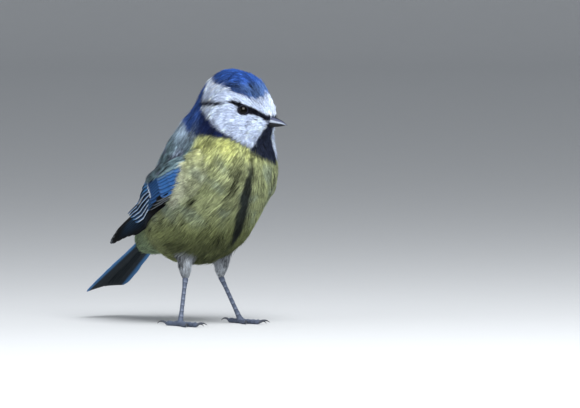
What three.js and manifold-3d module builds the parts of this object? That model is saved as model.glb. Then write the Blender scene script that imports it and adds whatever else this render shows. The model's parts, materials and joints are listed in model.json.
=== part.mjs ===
// A life-size blue tit, standing on both feet and looking to its left.
// Millimetres. +X is the way the breast faces, +Y is the bird's left and +Z is up.
// The plan of the bird is drawn with the middle of its stance at (0, 0) on the floor, z = 0;
// the finished group is then moved so that its origin is under the middle of its bounding box.
import * as THREE from 'three';
import { mergeVertices } from 'three/addons/utils/BufferGeometryUtils.js';
import Module from 'manifold-3d';

const wasm = await Module();
wasm.setup();

const GAP = 0.3; // between pieces that touch
const RIGHT = -1;
const LEFT = 1;
const SIDES = [
  { name: 'right', side: RIGHT },
  { name: 'left', side: LEFT },
];
const FLOOR_BOX = 200;

// Colours, seen in daylight.
const PLUMAGE = {
  head: 0xd4dbe6,
  neck: 0x24305a,
  torso: 0xb3b562,
  wing: 0x3f6796,
  tail: 0x4a74a8,
  thigh: 0xb9b3a6,
};
const BARE = { bill: 0x2b2f3a, leg: 0x7f8fb0, claw: 0x3a3d46, eye: 0x0d0a09 };

// The feathered body: rounded lumps that melt into one another.
// at: centre; radii: along, across and deep; pitch: nose up; yaw: to the left, in degrees.
const TRUNK_PITCH = 49;
const TAIL_SLOPE = 33.5;
const HEAD = { at: [12.3, 0, 78.8], yaw: 25, pitch: -12 };
const LUMPS = [
  { name: 'trunk', at: [-2, 0, 45.8], radii: [26, 20.7, 16.4], pitch: TRUNK_PITCH, blend: 5 },
  { name: 'belly', at: [-9.5, 0, 36.4], radii: [15.5, 16.2, 12], pitch: 20, blend: 8 },
  { name: 'breast', at: [9.4, 0, 56], radii: [14.5, 17.6, 12.4], pitch: 62, blend: 7 },
  { name: 'mantle', at: [-4, 0, 59.6], radii: [16, 17.2, 13], pitch: 50, blend: 6 },
  { name: 'back', at: [-14, 0, 50], radii: [16, 14.5, 9], pitch: 50, blend: 6 },
  { name: 'rump', at: [-21, 0, 41], radii: [14, 10.5, 8.6], pitch: TAIL_SLOPE, blend: 8 },
  { name: 'vent', at: [-25, 0, 35], radii: [17, 9, 6], pitch: TAIL_SLOPE - 4, blend: 8 },
  { name: 'nape', at: [3.4, 0, 71], radii: [12, 12.8, 10.5], pitch: 58, blend: 7 },
  { name: 'throat', at: [11.0, 1, 66.5], radii: [10, 13.6, 10.8], pitch: 70, blend: 7 },
];
// These are placed in the head's own axes: ahead, left and up from its centre.
const HEAD_LUMPS = [
  { name: 'skull', at: [0.1, 0, 0.2], radii: [13.1, 10.9, 11.2], blend: 5 },
  { name: 'crown', at: [0, 0, 5.9], radii: [8.8, 7.8, 6.5], blend: 4 },
  { name: 'face', at: [8.9, 0, -1.6], radii: [5.9, 5.6, 5.4], blend: 5 },
  { name: 'cheek_right', at: [2.4, -4.9, -5.4], radii: [9.3, 6.4, 7.8], blend: 5 },
  { name: 'cheek_left', at: [2.4, 4.9, -5.4], radii: [9.3, 6.4, 7.8], blend: 5 },
];
const SPINE = [[-15, 0, 37.5], [-3, 0, 44], [6.5, 0, 60], [HEAD.at[0], 0, HEAD.at[2]]];
const RINGS = { segments: 36, rear_cap: 8, middle: 14, head_cap: 9 };
const NECK_BASE_CUT = { at: [6.4, 0, 59.5], pitch: 62 };
const HEAD_CUT = { at: [9.0, 0, 70.2], pitch: 82 };

const EYE = { ahead: 7.9, up: 1.0, radius: 2.4, proud: 0.45, lid_radius: 1.95, lid_thick: 0.42 };
const ORBIT = { radius: 5.2, bite: 0.55 };

// The bill, in the head's axes. Ahead is along its biting edge.
const BILL = {
  base: [10.4, 0, -2.7],
  rise: 5, // degrees above the head's own axis
  length: 10.9,
  upper: 2.75,
  lower: 1.75,
  half_width: 2.15,
  lower_share: 0.96, // the lower half is this much as long
};
const GAPE = { from: 11.4, length: 6, half_width: 3.1, thick: 0.36 };
const NOSTRIL = { along: 3.6, up: 1.35, radius: 0.42 };

// Right wing: the folded wing's sheet, by rows from wrist to tip and from the lower edge up.
// Each control point is how far ahead, how far out from the middle, and how high.
const WING_NET = [
  [[9, 15, 52], [9, 17, 57], [6, 15, 60]],
  [[-4, 20, 42], [-8, 21, 49], [-12, 17, 54]],
  [[-22, 18.5, 35], [-26, 15.5, 42], [-30, 1.5, 49]],
  [[-49, 7.2, 27], [-52, 8.2, 28.2], [-52.5, 8.2, 30.2]],
];
const VANE_THICK = 0.55;
const WING_CLEAR = 0.8; // from the body to the wing's sheet
const ROOT_SINK = 0.9; // how far a wing vane's root dips under the tier before it
const VANE_LEAN = 13; // degrees that a wing vane leans, so that its lower edge lies over its neighbour
const WING_CORE = { under: 4, under_tip: 0.3, over: 0.25, from: 0.04, to: 0.86 };
// A tier is a row of vanes: roots and tips go evenly from the first pair to the last, in the
// sheet's (along, across) from 0 to 1. lift is the tier's height over the sheet.
const WING_TIERS = [
  { name: 'primaries', count: 6, steps: 5, root: [[0.3, 0.04], [0.34, 0.4]], tip: [[0.84, 0.06], [0.9, 0.62]],
    half: [1.7, 2.1], lift: [0.1, 0.5], longest: 0.45, extra: 0.14 },
  { name: 'secondaries', count: 4, root: [[0.3, 0.42], [0.28, 0.66]], tip: [[0.8, 0.6], [0.72, 0.8]],
    half: [2.1, 2.3], lift: [0.6, 0.8] },
  { name: 'tertials', count: 3, root: [[0.26, 0.68], [0.22, 0.86]], tip: [[0.7, 0.84], [0.56, 0.95]],
    half: [2.4, 2.6], lift: [0.9, 1.2] },
  { name: 'greater_coverts', count: 5, root: [[0.14, 0.16], [0.14, 0.8]],
    tip: [[0.4, 0.2], [0.42, 0.82]], half: [2.3, 2.4], lift: [0.8, 1.0] },
  { name: 'median_coverts', count: 4, root: [[0.06, 0.16], [0.05, 0.82]],
    tip: [[0.24, 0.2], [0.25, 0.82]], half: [2.4, 2.4], lift: [1.1, 1.3] },
  { name: 'alula', count: 2, root: [[0.1, 0.07], [0.12, 0.12]], tip: [[0.42, 0.05], [0.34, 0.13]],
    half: [1.2, 1.2], lift: [0.7, 1.1] },
];

// The tail: twelve vanes from one root, the middle pair on top.
const TAIL = {
  root: [-19.6, 0, 43.4],
  length: 52,
  slope: TAIL_SLOPE,
  roll: 4.5, // its right edge hangs lower
  pairs: 6,
  half_width: [2.5, 2.9],
  fan: 8.8, // how far out the outer pair's tip lies
  root_fan: 1.6,
  notch: 2.2, // how much shorter the middle pair is
  step: 0.36, // each pair lies this much under the last
  arch: 0.022,
  core: { length: 30, half_width: 4.6, half_thick: 1.5 },
};

// The legs stand astride, ankles behind and inside the feet.
const FOOT = { ahead: -2.0, out: 14.1, height: 1.05, ball: 1.35 };
const ANKLE = { ahead: -6.2, out: 8.2, height: 17.0 };
const KNEE = { ahead: -5.4, out: 9.4, height: 29 };
const TARSUS = { radius: 0.82, ankle_radius: 1.15, foot_radius: 1.2, scutes: 6, scute_proud: 0.1 };
const THIGH = { radius: 2.35 };
const TOE_AXIS = 0.78; // height of the toes' middle line; their undersides are cut flat on the floor
const TOES = [
  { name: 'hind', angle: 176, length: 7.4, radius: 0.98, joints: 1, claw: 5.2 },
  { name: 'inner', angle: -26, length: 7.2, radius: 0.86, joints: 2, claw: 3.9 },
  { name: 'middle', angle: 2, length: 10.2, radius: 0.9, joints: 3, claw: 4.3 },
  { name: 'outer', angle: 25, length: 8.2, radius: 0.84, joints: 3, claw: 3.9 },
];
const CLAW = { radius: 0.5, tip_radius: 0.09, turn: 74, sides: 7, rings: 5 };

// Small tools.
const rad = THREE.MathUtils.degToRad;
const lerp = THREE.MathUtils.lerp;
const vec = (x, y, z) => new THREE.Vector3(x, y, z);
const point = (list) => vec(...list);
const mix = (a, b, t) => a.clone().lerp(b, t);
const UP = vec(0, 0, 1);
const ACROSS = vec(0, 1, 0);

function turn(yaw, pitch, roll = 0) {
  return new THREE.Quaternion().setFromEuler(new THREE.Euler(rad(roll), -rad(pitch), rad(yaw), 'ZYX'));
}

const headTurn = turn(HEAD.yaw, HEAD.pitch);
const inHead = (ahead, left, up) => vec(ahead, left, up).applyQuaternion(headTurn).add(point(HEAD.at));

function signedVolume(points, faces) {
  let sum = 0;
  for (const [a, b, c] of faces) {
    sum += points[a].dot(points[b].clone().cross(points[c]));
  }
  return sum / 6;
}

// A manifold-3d solid from shared points and triangles, turned to face out.
function solidFrom(points, faces) {
  const outward = signedVolume(points, faces) > 0 ? faces : faces.map(([a, b, c]) => [a, c, b]);
  return new wasm.Manifold(new wasm.Mesh({
    numProp: 3,
    vertProperties: new Float32Array(points.flatMap((p) => [p.x, p.y, p.z])),
    triVerts: new Uint32Array(outward.flat()),
  }));
}

function solidOf(geometry) {
  const bare = geometry.clone();
  bare.deleteAttribute('normal');
  bare.deleteAttribute('uv');
  const merged = mergeVertices(bare, 1e-4);
  const at = merged.getAttribute('position');
  const points = Array.from({ length: at.count }, (_, i) => vec(at.getX(i), at.getY(i), at.getZ(i)));
  const index = Array.from(merged.index.array);
  const faces = [];
  for (let i = 0; i < index.length; i += 3) {
    faces.push(index.slice(i, i + 3));
  }
  return solidFrom(points, faces);
}

// A closed skin over rings of points, with a fan at each end.
function loft(rings, first, last) {
  const n = rings[0].length;
  const points = rings.flat();
  const faces = [];
  for (let r = 0; r + 1 < rings.length; r += 1) {
    for (let i = 0; i < n; i += 1) {
      const a = r * n + i;
      const b = r * n + ((i + 1) % n);
      faces.push([a, b, b + n], [a, b + n, a + n]);
    }
  }
  const start = points.push(first) - 1;
  const end = points.push(last) - 1;
  const base = (rings.length - 1) * n;
  for (let i = 0; i < n; i += 1) {
    faces.push([start, (i + 1) % n, i], [end, base + i, base + ((i + 1) % n)]);
  }
  return solidFrom(points, faces);
}

const middleOf = (ring) => ring.reduce((sum, p) => sum.add(p), vec(0, 0, 0)).divideScalar(ring.length);
const loftFlat = (rings) => loft(rings, middleOf(rings[0]), middleOf(rings[rings.length - 1]));

function ringAround(centre, tangent, sideways, count, radiusAt) {
  const out = tangent.clone().cross(sideways).normalize();
  return Array.from({ length: count }, (_, i) => {
    const angle = (2 * Math.PI * i) / count;
    const direction = out.clone().multiplyScalar(Math.cos(angle)).addScaledVector(sideways, Math.sin(angle));
    return centre.clone().addScaledVector(direction, radiusAt(angle));
  });
}

// A round rod along a path of points, with its radius at each.
function rod(path, radii, sides) {
  const rings = path.map((p, i) => {
    const before = path[Math.max(i - 1, 0)];
    const after = path[Math.min(i + 1, path.length - 1)];
    const tangent = after.clone().sub(before).normalize();
    const level = Math.abs(tangent.z) > 0.9 ? vec(1, 0, 0) : UP;
    const sideways = level.clone().cross(tangent).normalize();
    return ringAround(p, tangent, sideways, sides, () => radii[i]);
  });
  return loftFlat(rings);
}

const joined = (solids) => wasm.Manifold.union(solids);

// The largest closed surface: a scrap is dropped and a sealed hollow filled.
const largest = (solid) => solid.decompose().sort((a, b) => b.volume() - a.volume())[0];

function ball(centre, radius, across = 20, down = 14) {
  const shape = new THREE.SphereGeometry(radius, across, down);
  return solidOf(shape.translate(centre.x, centre.y, centre.z));
}

function block(size, centre, quaternion = new THREE.Quaternion()) {
  const shape = new THREE.BoxGeometry(size[0], size[1], size[2]);
  return solidOf(shape.applyQuaternion(quaternion).translate(centre.x, centre.y, centre.z));
}

// The body's surface.
function prepared(lump, quaternion, centre) {
  return { ...lump, back: quaternion.clone().invert(), centre };
}

const bodyLumps = LUMPS.map((l) => prepared(l, turn(0, l.pitch), point(l.at)));
const headLumps = HEAD_LUMPS.map((l) => prepared(l, headTurn, inHead(...l.at)));
const allLumps = [...bodyLumps, ...headLumps];

function lumpDistance(lump, p) {
  const q = p.clone().sub(lump.centre).applyQuaternion(lump.back);
  const [a, b, c] = lump.radii;
  const near = Math.hypot(q.x / a, q.y / b, q.z / c);
  const slope = Math.hypot(q.x / (a * a), q.y / (b * b), q.z / (c * c));
  return slope < 1e-9 ? -Math.min(a, b, c) : (near * (near - 1)) / slope;
}

function smoothMin(a, b, width) {
  const h = Math.max(width - Math.abs(a - b), 0) / width;
  return Math.min(a, b) - (h * h * width) / 4;
}

// About how far p lies outside the feathered body; negative inside.
function bodyDistance(p) {
  return allLumps.reduce((d, lump) => smoothMin(d, lumpDistance(lump, p), lump.blend), 1e3);
}

function bodyNormal(p) {
  const e = 0.05;
  const along = (axis) => bodyDistance(p.clone().addScaledVector(axis, e))
    - bodyDistance(p.clone().addScaledVector(axis, -e));
  return vec(along(vec(1, 0, 0)), along(ACROSS), along(UP)).normalize();
}

// Where a ray from inside the body first leaves the surface that lies level outside it.
function surfacePoint(origin, direction, level) {
  const step = 0.5;
  const at = (t) => origin.clone().addScaledVector(direction, t);
  let outer = 0;
  while (bodyDistance(at(outer)) < level) {
    outer += step;
  }
  let inner = Math.max(outer - step, 0);
  for (let i = 0; i < 18; i += 1) {
    const half = (inner + outer) / 2;
    if (bodyDistance(at(half)) < level) {
      inner = half;
    } else {
      outer = half;
    }
  }
  return at(outer);
}

// The whole body as one closed skin: a cap over the vent, rings along the spine, a cap over the crown.
function bodySkin(level) {
  const spine = new THREE.CatmullRomCurve3(SPINE.map(point));
  const ringAt = (u, lean) => {
    const origin = spine.getPoint(u);
    const tangent = spine.getTangent(u);
    const back = tangent.clone().cross(ACROSS).normalize().negate();
    return Array.from({ length: RINGS.segments }, (_, i) => {
      const angle = (2 * Math.PI * i) / RINGS.segments;
      const direction = back.clone().multiplyScalar(Math.cos(angle))
        .addScaledVector(ACROSS, Math.sin(angle))
        .multiplyScalar(Math.cos(lean))
        .addScaledVector(tangent, Math.sin(lean));
      return surfacePoint(origin, direction, level);
    });
  };
  const rings = [];
  for (let i = 1; i <= RINGS.rear_cap; i += 1) {
    const share = (i / (RINGS.rear_cap + 1)) ** 1.25;
    rings.push(ringAt(0, (share - 1) * (Math.PI / 2)));
  }
  for (let i = 0; i <= RINGS.middle; i += 1) {
    rings.push(ringAt(i / RINGS.middle, 0));
  }
  for (let i = 1; i <= RINGS.head_cap; i += 1) {
    rings.push(ringAt(1, (i / (RINGS.head_cap + 1)) * (Math.PI / 2)));
  }
  const vent = surfacePoint(spine.getPoint(0), spine.getTangent(0).negate(), level);
  const crown = surfacePoint(spine.getPoint(1), spine.getTangent(1), level);
  return loft(rings, vent, crown);
}

const body = bodySkin(0);
const bodyKeepOut = bodySkin(GAP);

function thinCut({ at, pitch }) {
  return block([GAP, 90, 90], point(at), turn(0, pitch));
}

function bodyPieces() {
  const cut = body.subtract(thinCut(NECK_BASE_CUT)).subtract(thinCut(HEAD_CUT));
  const heightOf = (piece) => piece.boundingBox().max[2];
  const [torso, neck, head] = cut.decompose()
    .filter((piece) => piece.volume() > 100)
    .sort((a, b) => heightOf(a) - heightOf(b));
  return { torso, neck, head };
}

// Head: eyes, lids, mouth and bill.
function eyePlace(side) {
  const origin = inHead(EYE.ahead, 0, EYE.up);
  const out = vec(0, side, 0).applyQuaternion(headTurn);
  const skin = surfacePoint(origin, out, 0);
  const normal = bodyNormal(skin);
  const centre = skin.clone().addScaledVector(normal, EYE.proud - EYE.radius);
  return { skin, normal, centre };
}

function lidRing({ normal, centre }) {
  const depth = Math.sqrt(EYE.radius ** 2 - (EYE.lid_radius - 0.1) ** 2);
  const middle = centre.clone().addScaledVector(normal, depth);
  const shape = new THREE.TorusGeometry(EYE.lid_radius, EYE.lid_thick, 6, 18)
    .applyQuaternion(new THREE.Quaternion().setFromUnitVectors(UP, normal))
    .translate(middle.x, middle.y, middle.z);
  return solidOf(shape);
}

function headWithFace(blank) {
  let head = blank;
  for (const { side } of SIDES) {
    const eye = eyePlace(side);
    const bite = eye.skin.clone().addScaledVector(eye.normal, ORBIT.radius - ORBIT.bite);
    head = head.subtract(ball(bite, ORBIT.radius, 22, 14))
      .add(lidRing(eye))
      .subtract(ball(eye.centre, EYE.radius + GAP, 18, 12));
  }
  const slot = block(
    [GAPE.length, 2 * GAPE.half_width, GAPE.thick],
    inHead(GAPE.from + GAPE.length / 2, 0, BILL.base[2]),
    turn(HEAD.yaw, HEAD.pitch + BILL.rise),
  );
  return largest(head.subtract(slot));
}

// One half of the bill. up is 1 for the upper half and -1 for the lower one.
function billHalf(up) {
  const axes = turn(HEAD.yaw, HEAD.pitch + BILL.rise);
  const base = inHead(...BILL.base);
  const steps = 8;
  const height = up > 0 ? BILL.upper : BILL.lower;
  const length = BILL.length * (up > 0 ? 1 : BILL.lower_share);
  const rings = [];
  for (let i = 0; i <= steps; i += 1) {
    const t = 1 - (1 - i / steps) ** 1.5;
    const tall = Math.max(height * (1 - t ** (up > 0 ? 1.8 : 2.4)) ** 0.85, 0.16);
    const wide = Math.max(BILL.half_width * (1 - t ** 1.5) ** 0.85, 0.14);
    const arc = [];
    for (let k = 0; k <= 8; k += 1) {
      const angle = (Math.PI * k) / 8;
      arc.push([wide * Math.cos(angle), GAP / 2 + tall * Math.sin(angle) ** 0.9]);
    }
    rings.push(arc.map(([y, z]) => vec(length * t, y, up * z).applyQuaternion(axes).add(base)));
  }
  return loftFlat(rings).subtract(bodyKeepOut);
}

function upperBill() {
  const axes = turn(HEAD.yaw, HEAD.pitch + BILL.rise);
  let bill = billHalf(1);
  for (const { side } of SIDES) {
    const wide = BILL.half_width * (1 - (NOSTRIL.along / BILL.length) ** 1.5) ** 0.85;
    const pit = vec(NOSTRIL.along, side * wide * 0.86, NOSTRIL.up).applyQuaternion(axes);
    bill = bill.subtract(ball(pit.add(inHead(...BILL.base)), NOSTRIL.radius, 10, 8));
  }
  return largest(bill);
}

// Feather vanes.
// A vane follows its shaft line from root to tip. frameAt(t) gives the shaft point, the way out of
// the feather's face and the way across it; the faces are split into triangles alike.
function vane(frameAt, halfWidth, steps, thick = VANE_THICK) {
  const rings = [];
  for (let i = 0; i <= steps; i += 1) {
    const t = i / steps;
    const { shaft, out, across } = frameAt(t);
    const round = Math.sqrt(Math.max(1 - ((t - 0.7) / 0.32) ** 2, 0.03));
    const half = halfWidth * (t < 0.7 ? lerp(0.62, 1, Math.sin((t / 0.7) * (Math.PI / 2))) : round);
    const deep = thick * (t > 0.9 ? 0.75 : 1);
    const corner = (sign, drop) => shaft.clone().addScaledVector(across, sign * half)
      .addScaledVector(out, -drop);
    rings.push([corner(1, 0), corner(-1, 0), corner(-1, deep), corner(1, deep)]);
  }
  return loftFlat(rings);
}

function bezier(points, t) {
  const layers = points.map((p) => p.clone());
  for (let n = layers.length - 1; n > 0; n -= 1) {
    for (let i = 0; i < n; i += 1) {
      layers[i].lerp(layers[i + 1], t);
    }
  }
  return layers[0];
}

// Wings.
// A point of the sheet that would lie too near the body is set on the body's surface, and faces as it does.
function drape(place, out, clear) {
  if (bodyDistance(place) >= clear) {
    return { place, out };
  }
  for (let i = 0; i < 4; i += 1) {
    place.addScaledVector(bodyNormal(place), clear - bodyDistance(place));
  }
  return { place, out: out.clone().add(bodyNormal(place)).normalize() };
}

function wingSheet(side) {
  const net = WING_NET.map((row) => row.map(([x, y, z]) => vec(x, side * y, z)));
  const at = (u, v) => bezier(net.map((row) => bezier(row, v)), u);
  const e = 1e-3;
  return (u, v, lift) => {
    const base = at(u, v);
    const along = at(u + e, v).sub(base);
    const across = at(u, v + e).sub(base);
    const out = along.clone().cross(across).multiplyScalar(side).normalize();
    return drape(base.clone().addScaledVector(out, lift), out, lift + WING_CLEAR);
  };
}

function tierVanes(sheet, tier, side) {
  const pair = ([from, to], share) => [lerp(from[0], to[0], share), lerp(from[1], to[1], share)];
  return Array.from({ length: tier.count }, (_, i) => {
    const share = tier.count > 1 ? i / (tier.count - 1) : 0;
    const root = pair(tier.root, share);
    const tip = pair(tier.tip, share);
    if (tier.longest !== undefined) {
      tip[0] += tier.extra * Math.cos((share - tier.longest) * 2.4) ** 2 - tier.extra / 2;
    }
    const lift = lerp(tier.lift[0], tier.lift[1], share);
    const risen = (t) => lift - ROOT_SINK * (1 - Math.min(t * 2.2, 1)) ** 2;
    const shaftAt = (t) => sheet(lerp(root[0], tip[0], t), lerp(root[1], tip[1], t), risen(t));
    const frameAt = (t) => {
      const { place, out } = shaftAt(t);
      const tangent = shaftAt(Math.min(t + 0.02, 1)).place.sub(shaftAt(Math.max(t - 0.02, 0)).place);
      const face = out.clone().applyAxisAngle(tangent.normalize(), side * rad(VANE_LEAN));
      return { shaft: place, out: face, across: face.clone().cross(tangent).normalize() };
    };
    return vane(frameAt, lerp(tier.half[0], tier.half[1], share), tier.steps ?? 4);
  });
}

// The folded hand and arm under the vanes, filling the space down to the body.
function wingCore(sheet) {
  const rows = 12;
  const columns = 5;
  const rings = [];
  for (let i = 0; i <= rows; i += 1) {
    const share = i / rows;
    const u = lerp(WING_CORE.from, WING_CORE.to, share);
    const slim = Math.sqrt(1 - (2 * share - 1) ** 6) * 0.94 + 0.06;
    const under = lerp(WING_CORE.under, WING_CORE.under_tip, Math.min(share * 1.35, 1));
    const top = [];
    const bottom = [];
    for (let k = 0; k <= columns; k += 1) {
      const v = 0.5 + (k / columns - 0.5) * 0.94 * slim;
      const { place, out } = sheet(u, v, WING_CORE.over);
      top.push(place);
      bottom.unshift(place.clone().addScaledVector(out, -under - WING_CORE.over - 0.2));
    }
    rings.push([...top, ...bottom]);
  }
  return loftFlat(rings);
}

function wing(side) {
  const sheet = wingSheet(side);
  const vanes = WING_TIERS.flatMap((tier) => tierVanes(sheet, tier, side));
  return largest(joined([wingCore(sheet), ...vanes]).subtract(bodyKeepOut));
}

// Tail.
function tailVane(pair, side) {
  const share = (pair - 0.5) / TAIL.pairs;
  const length = TAIL.length - TAIL.notch * (1 - pair / TAIL.pairs) ** 1.2;
  const axes = turn(0, TAIL.slope, TAIL.roll);
  const frameAt = (t) => {
    const across = side * lerp(TAIL.root_fan, TAIL.fan, t) * share;
    const low = -TAIL.step * (pair - 1) - TAIL.arch * across ** 2;
    const shaft = vec(-length * t, across, low).applyQuaternion(axes).add(point(TAIL.root));
    const tilt = new THREE.Quaternion().setFromAxisAngle(vec(1, 0, 0), -2 * TAIL.arch * across);
    return {
      shaft,
      out: UP.clone().applyQuaternion(tilt).applyQuaternion(axes),
      across: ACROSS.clone().applyQuaternion(tilt).applyQuaternion(axes),
    };
  };
  return vane(frameAt, lerp(TAIL.half_width[0], TAIL.half_width[1], share), 6);
}

function tailCore() {
  const { length, half_width: wide, half_thick: thick } = TAIL.core;
  const axes = turn(0, TAIL.slope, TAIL.roll);
  const rings = [0, 0.3, 0.6, 0.85, 1].map((t) => {
    const slim = Math.sqrt(1 - t ** 3) * 0.9 + 0.1;
    return Array.from({ length: 12 }, (_, i) => {
      const angle = (2 * Math.PI * i) / 12;
      const low = -TAIL.step * 2.5;
      return vec(-length * t, wide * slim * Math.cos(angle), low + thick * slim * Math.sin(angle))
        .applyQuaternion(axes).add(point(TAIL.root));
    });
  });
  return loftFlat(rings);
}

function tail() {
  const vanes = [];
  for (let pair = 1; pair <= TAIL.pairs; pair += 1) {
    for (const { side } of SIDES) {
      vanes.push(tailVane(pair, side));
    }
  }
  return largest(joined([tailCore(), ...vanes]).subtract(bodyKeepOut));
}

// Legs.
const legPoint = ({ ahead, out, height }, side) => vec(ahead, side * out, height);

function tarsusPath(side) {
  const top = legPoint(ANKLE, side);
  const bottom = legPoint(FOOT, side);
  const shares = [-0.04, 0.03, 0.1, 0.22];
  const radii = [0.8, TARSUS.ankle_radius, 1.0, TARSUS.radius];
  for (let i = 0; i < TARSUS.scutes; i += 1) {
    const step = 0.78 / TARSUS.scutes;
    const start = 0.22 + step * i;
    const thicken = Math.max((start - 0.55) / 0.45, 0) ** 2;
    const radius = lerp(TARSUS.radius, TARSUS.foot_radius, thicken);
    shares.push(start + step * 0.12, start + step * 0.92);
    radii.push(radius + TARSUS.scute_proud, radius + TARSUS.scute_proud * 0.4);
  }
  return { path: shares.map((s) => mix(top, bottom, s)), radii };
}

function tarsus(side) {
  const { path, radii } = tarsusPath(side);
  const clear = ball(legPoint(FOOT, side), FOOT.ball + GAP, 12, 8);
  return largest(rod(path, radii, 10).subtract(clear));
}

function thigh(side) {
  const top = legPoint(KNEE, side);
  const bottom = legPoint(ANKLE, side);
  const shares = [0, 0.25, 0.45, 0.62, 0.78, 0.9, 0.98];
  const radii = [0.7, 0.95, 1, 1, 0.92, 0.74, 0.58].map((r) => r * THIGH.radius);
  const shape = rod(shares.map((s) => mix(top, bottom, s)), radii, 14);
  const { path, radii: inner } = tarsusPath(side);
  const clear = rod(path, inner.map((r) => r + GAP), 10);
  return largest(shape.subtract(bodyKeepOut).subtract(clear));
}

function toePath(toe, side) {
  const yaw = rad(toe.angle) * side;
  const ahead = vec(Math.cos(yaw), Math.sin(yaw), 0);
  const start = legPoint(FOOT, side);
  const steps = 2 * toe.joints + 2;
  const path = [];
  const radii = [];
  for (let i = 0; i <= steps; i += 1) {
    const t = i / steps;
    const height = lerp(start.z, TOE_AXIS, Math.min(t * 3, 1));
    path.push(start.clone().addScaledVector(ahead, toe.length * t).setZ(height));
    radii.push(toe.radius * (i % 2 ? 1.08 : 0.94) * (i === steps ? 0.72 : 1));
  }
  return { path, radii, ahead };
}

function foot(side) {
  const toes = TOES.map((toe) => {
    const { path, radii } = toePath(toe, side);
    return rod(path, radii, 8);
  });
  const under = block([FLOOR_BOX, FLOOR_BOX, 10], vec(0, 0, -5));
  return largest(joined([ball(legPoint(FOOT, side), FOOT.ball, 12, 8), ...toes]).subtract(under));
}

// A claw leaves the end of its toe level and curves down to the floor.
function claw(toe, side) {
  const { path, ahead } = toePath(toe, side);
  const start = path[path.length - 1].clone().addScaledVector(ahead, GAP);
  const radius = toe.claw / rad(CLAW.turn);
  const points = [];
  const radii = [];
  for (let i = 0; i <= CLAW.rings; i += 1) {
    const t = i / CLAW.rings;
    const angle = rad(lerp(34, 34 - CLAW.turn, t));
    const rise = radius * (Math.cos(angle) - Math.cos(rad(34)));
    const reach = radius * (Math.sin(rad(34)) - Math.sin(angle));
    points.push(start.clone().addScaledVector(ahead, reach).addScaledVector(UP, rise));
    radii.push(lerp(CLAW.radius, CLAW.tip_radius, t ** 1.2));
  }
  const lowest = Math.min(...points.map((p, i) => p.z - radii[i]));
  const sink = Math.min(lowest - 0.02, 0);
  points.forEach((p, i) => p.addScaledVector(UP, -sink * (i / CLAW.rings) ** 1.5));
  return rod(points, radii, CLAW.sides);
}

// The whole bird.
const bird = new THREE.Group();

function add(name, solid, color, roughness = 0.8) {
  const mesh = solid.getMesh();
  const count = mesh.numVert;
  const positions = new Float32Array(count * 3);
  for (let i = 0; i < count; i += 1) {
    positions.set(mesh.vertProperties.subarray(i * mesh.numProp, i * mesh.numProp + 3), i * 3);
  }
  const geometry = new THREE.BufferGeometry();
  geometry.setAttribute('position', new THREE.BufferAttribute(positions, 3));
  geometry.setIndex(new THREE.BufferAttribute(mesh.triVerts, 1));
  geometry.computeVertexNormals();
  const material = new THREE.MeshStandardMaterial({ color, roughness, metalness: 0 });
  const made = new THREE.Mesh(geometry, material);
  made.name = name;
  bird.add(made);
}

const pieces = bodyPieces();
add('torso', pieces.torso, PLUMAGE.torso);
add('neck', pieces.neck, PLUMAGE.neck);
add('head', headWithFace(pieces.head), PLUMAGE.head);
add('bill_upper', upperBill(), BARE.bill, 0.45);
add('bill_lower', largest(billHalf(-1)), BARE.bill, 0.45);
add('tail', tail(), PLUMAGE.tail, 0.6);
for (const { name, side } of SIDES) {
  add(`eye_${name}`, ball(eyePlace(side).centre, EYE.radius, 18, 12), BARE.eye, 0.1);
  add(`wing_${name}`, wing(side), PLUMAGE.wing, 0.6);
  add(`thigh_${name}`, thigh(side), PLUMAGE.thigh);
  add(`tarsus_${name}`, tarsus(side), BARE.leg, 0.5);
  add(`foot_${name}`, foot(side), BARE.leg, 0.5);
  for (const toe of TOES) {
    add(`claw_${name}_${toe.name}`, claw(toe, side), BARE.claw, 0.35);
  }
}

// The origin goes under the middle of the bounding box, on the floor.
const box = new THREE.Box3().setFromObject(bird);
const middle = box.getCenter(vec(0, 0, 0));
bird.position.set(-middle.x, -middle.y, -box.min.z);

export default bird;
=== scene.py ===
"""A life-size blue tit as a still museum model, standing with its head turned to its left.

Sizes are in millimetres in the bird's own plan: +X the way the breast faces, +Y the bird's left,
+Z up, and the middle of its stance at (0, 0) on the floor. in_metres() moves them to the CAD frame.
"""

import json
import math

import bpy
import numpy as np
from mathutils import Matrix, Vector


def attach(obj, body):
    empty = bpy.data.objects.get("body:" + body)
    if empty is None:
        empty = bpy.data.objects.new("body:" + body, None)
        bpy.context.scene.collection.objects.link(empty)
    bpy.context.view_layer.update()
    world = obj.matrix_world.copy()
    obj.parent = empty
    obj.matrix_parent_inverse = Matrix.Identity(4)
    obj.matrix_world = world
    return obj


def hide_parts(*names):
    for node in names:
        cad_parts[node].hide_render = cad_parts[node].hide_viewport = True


bl_info = {
    "name": "Blue tit model",
    "version": (1, 0, 0),
    "blender": (4, 5, 0),
    "location": "3D View > Sidebar > Blue tit",
    "description": "Dresses a life-size blue tit with skin, coat, flight feathers, bill, eyes and feet",
    "category": "Add Mesh",
}

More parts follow.
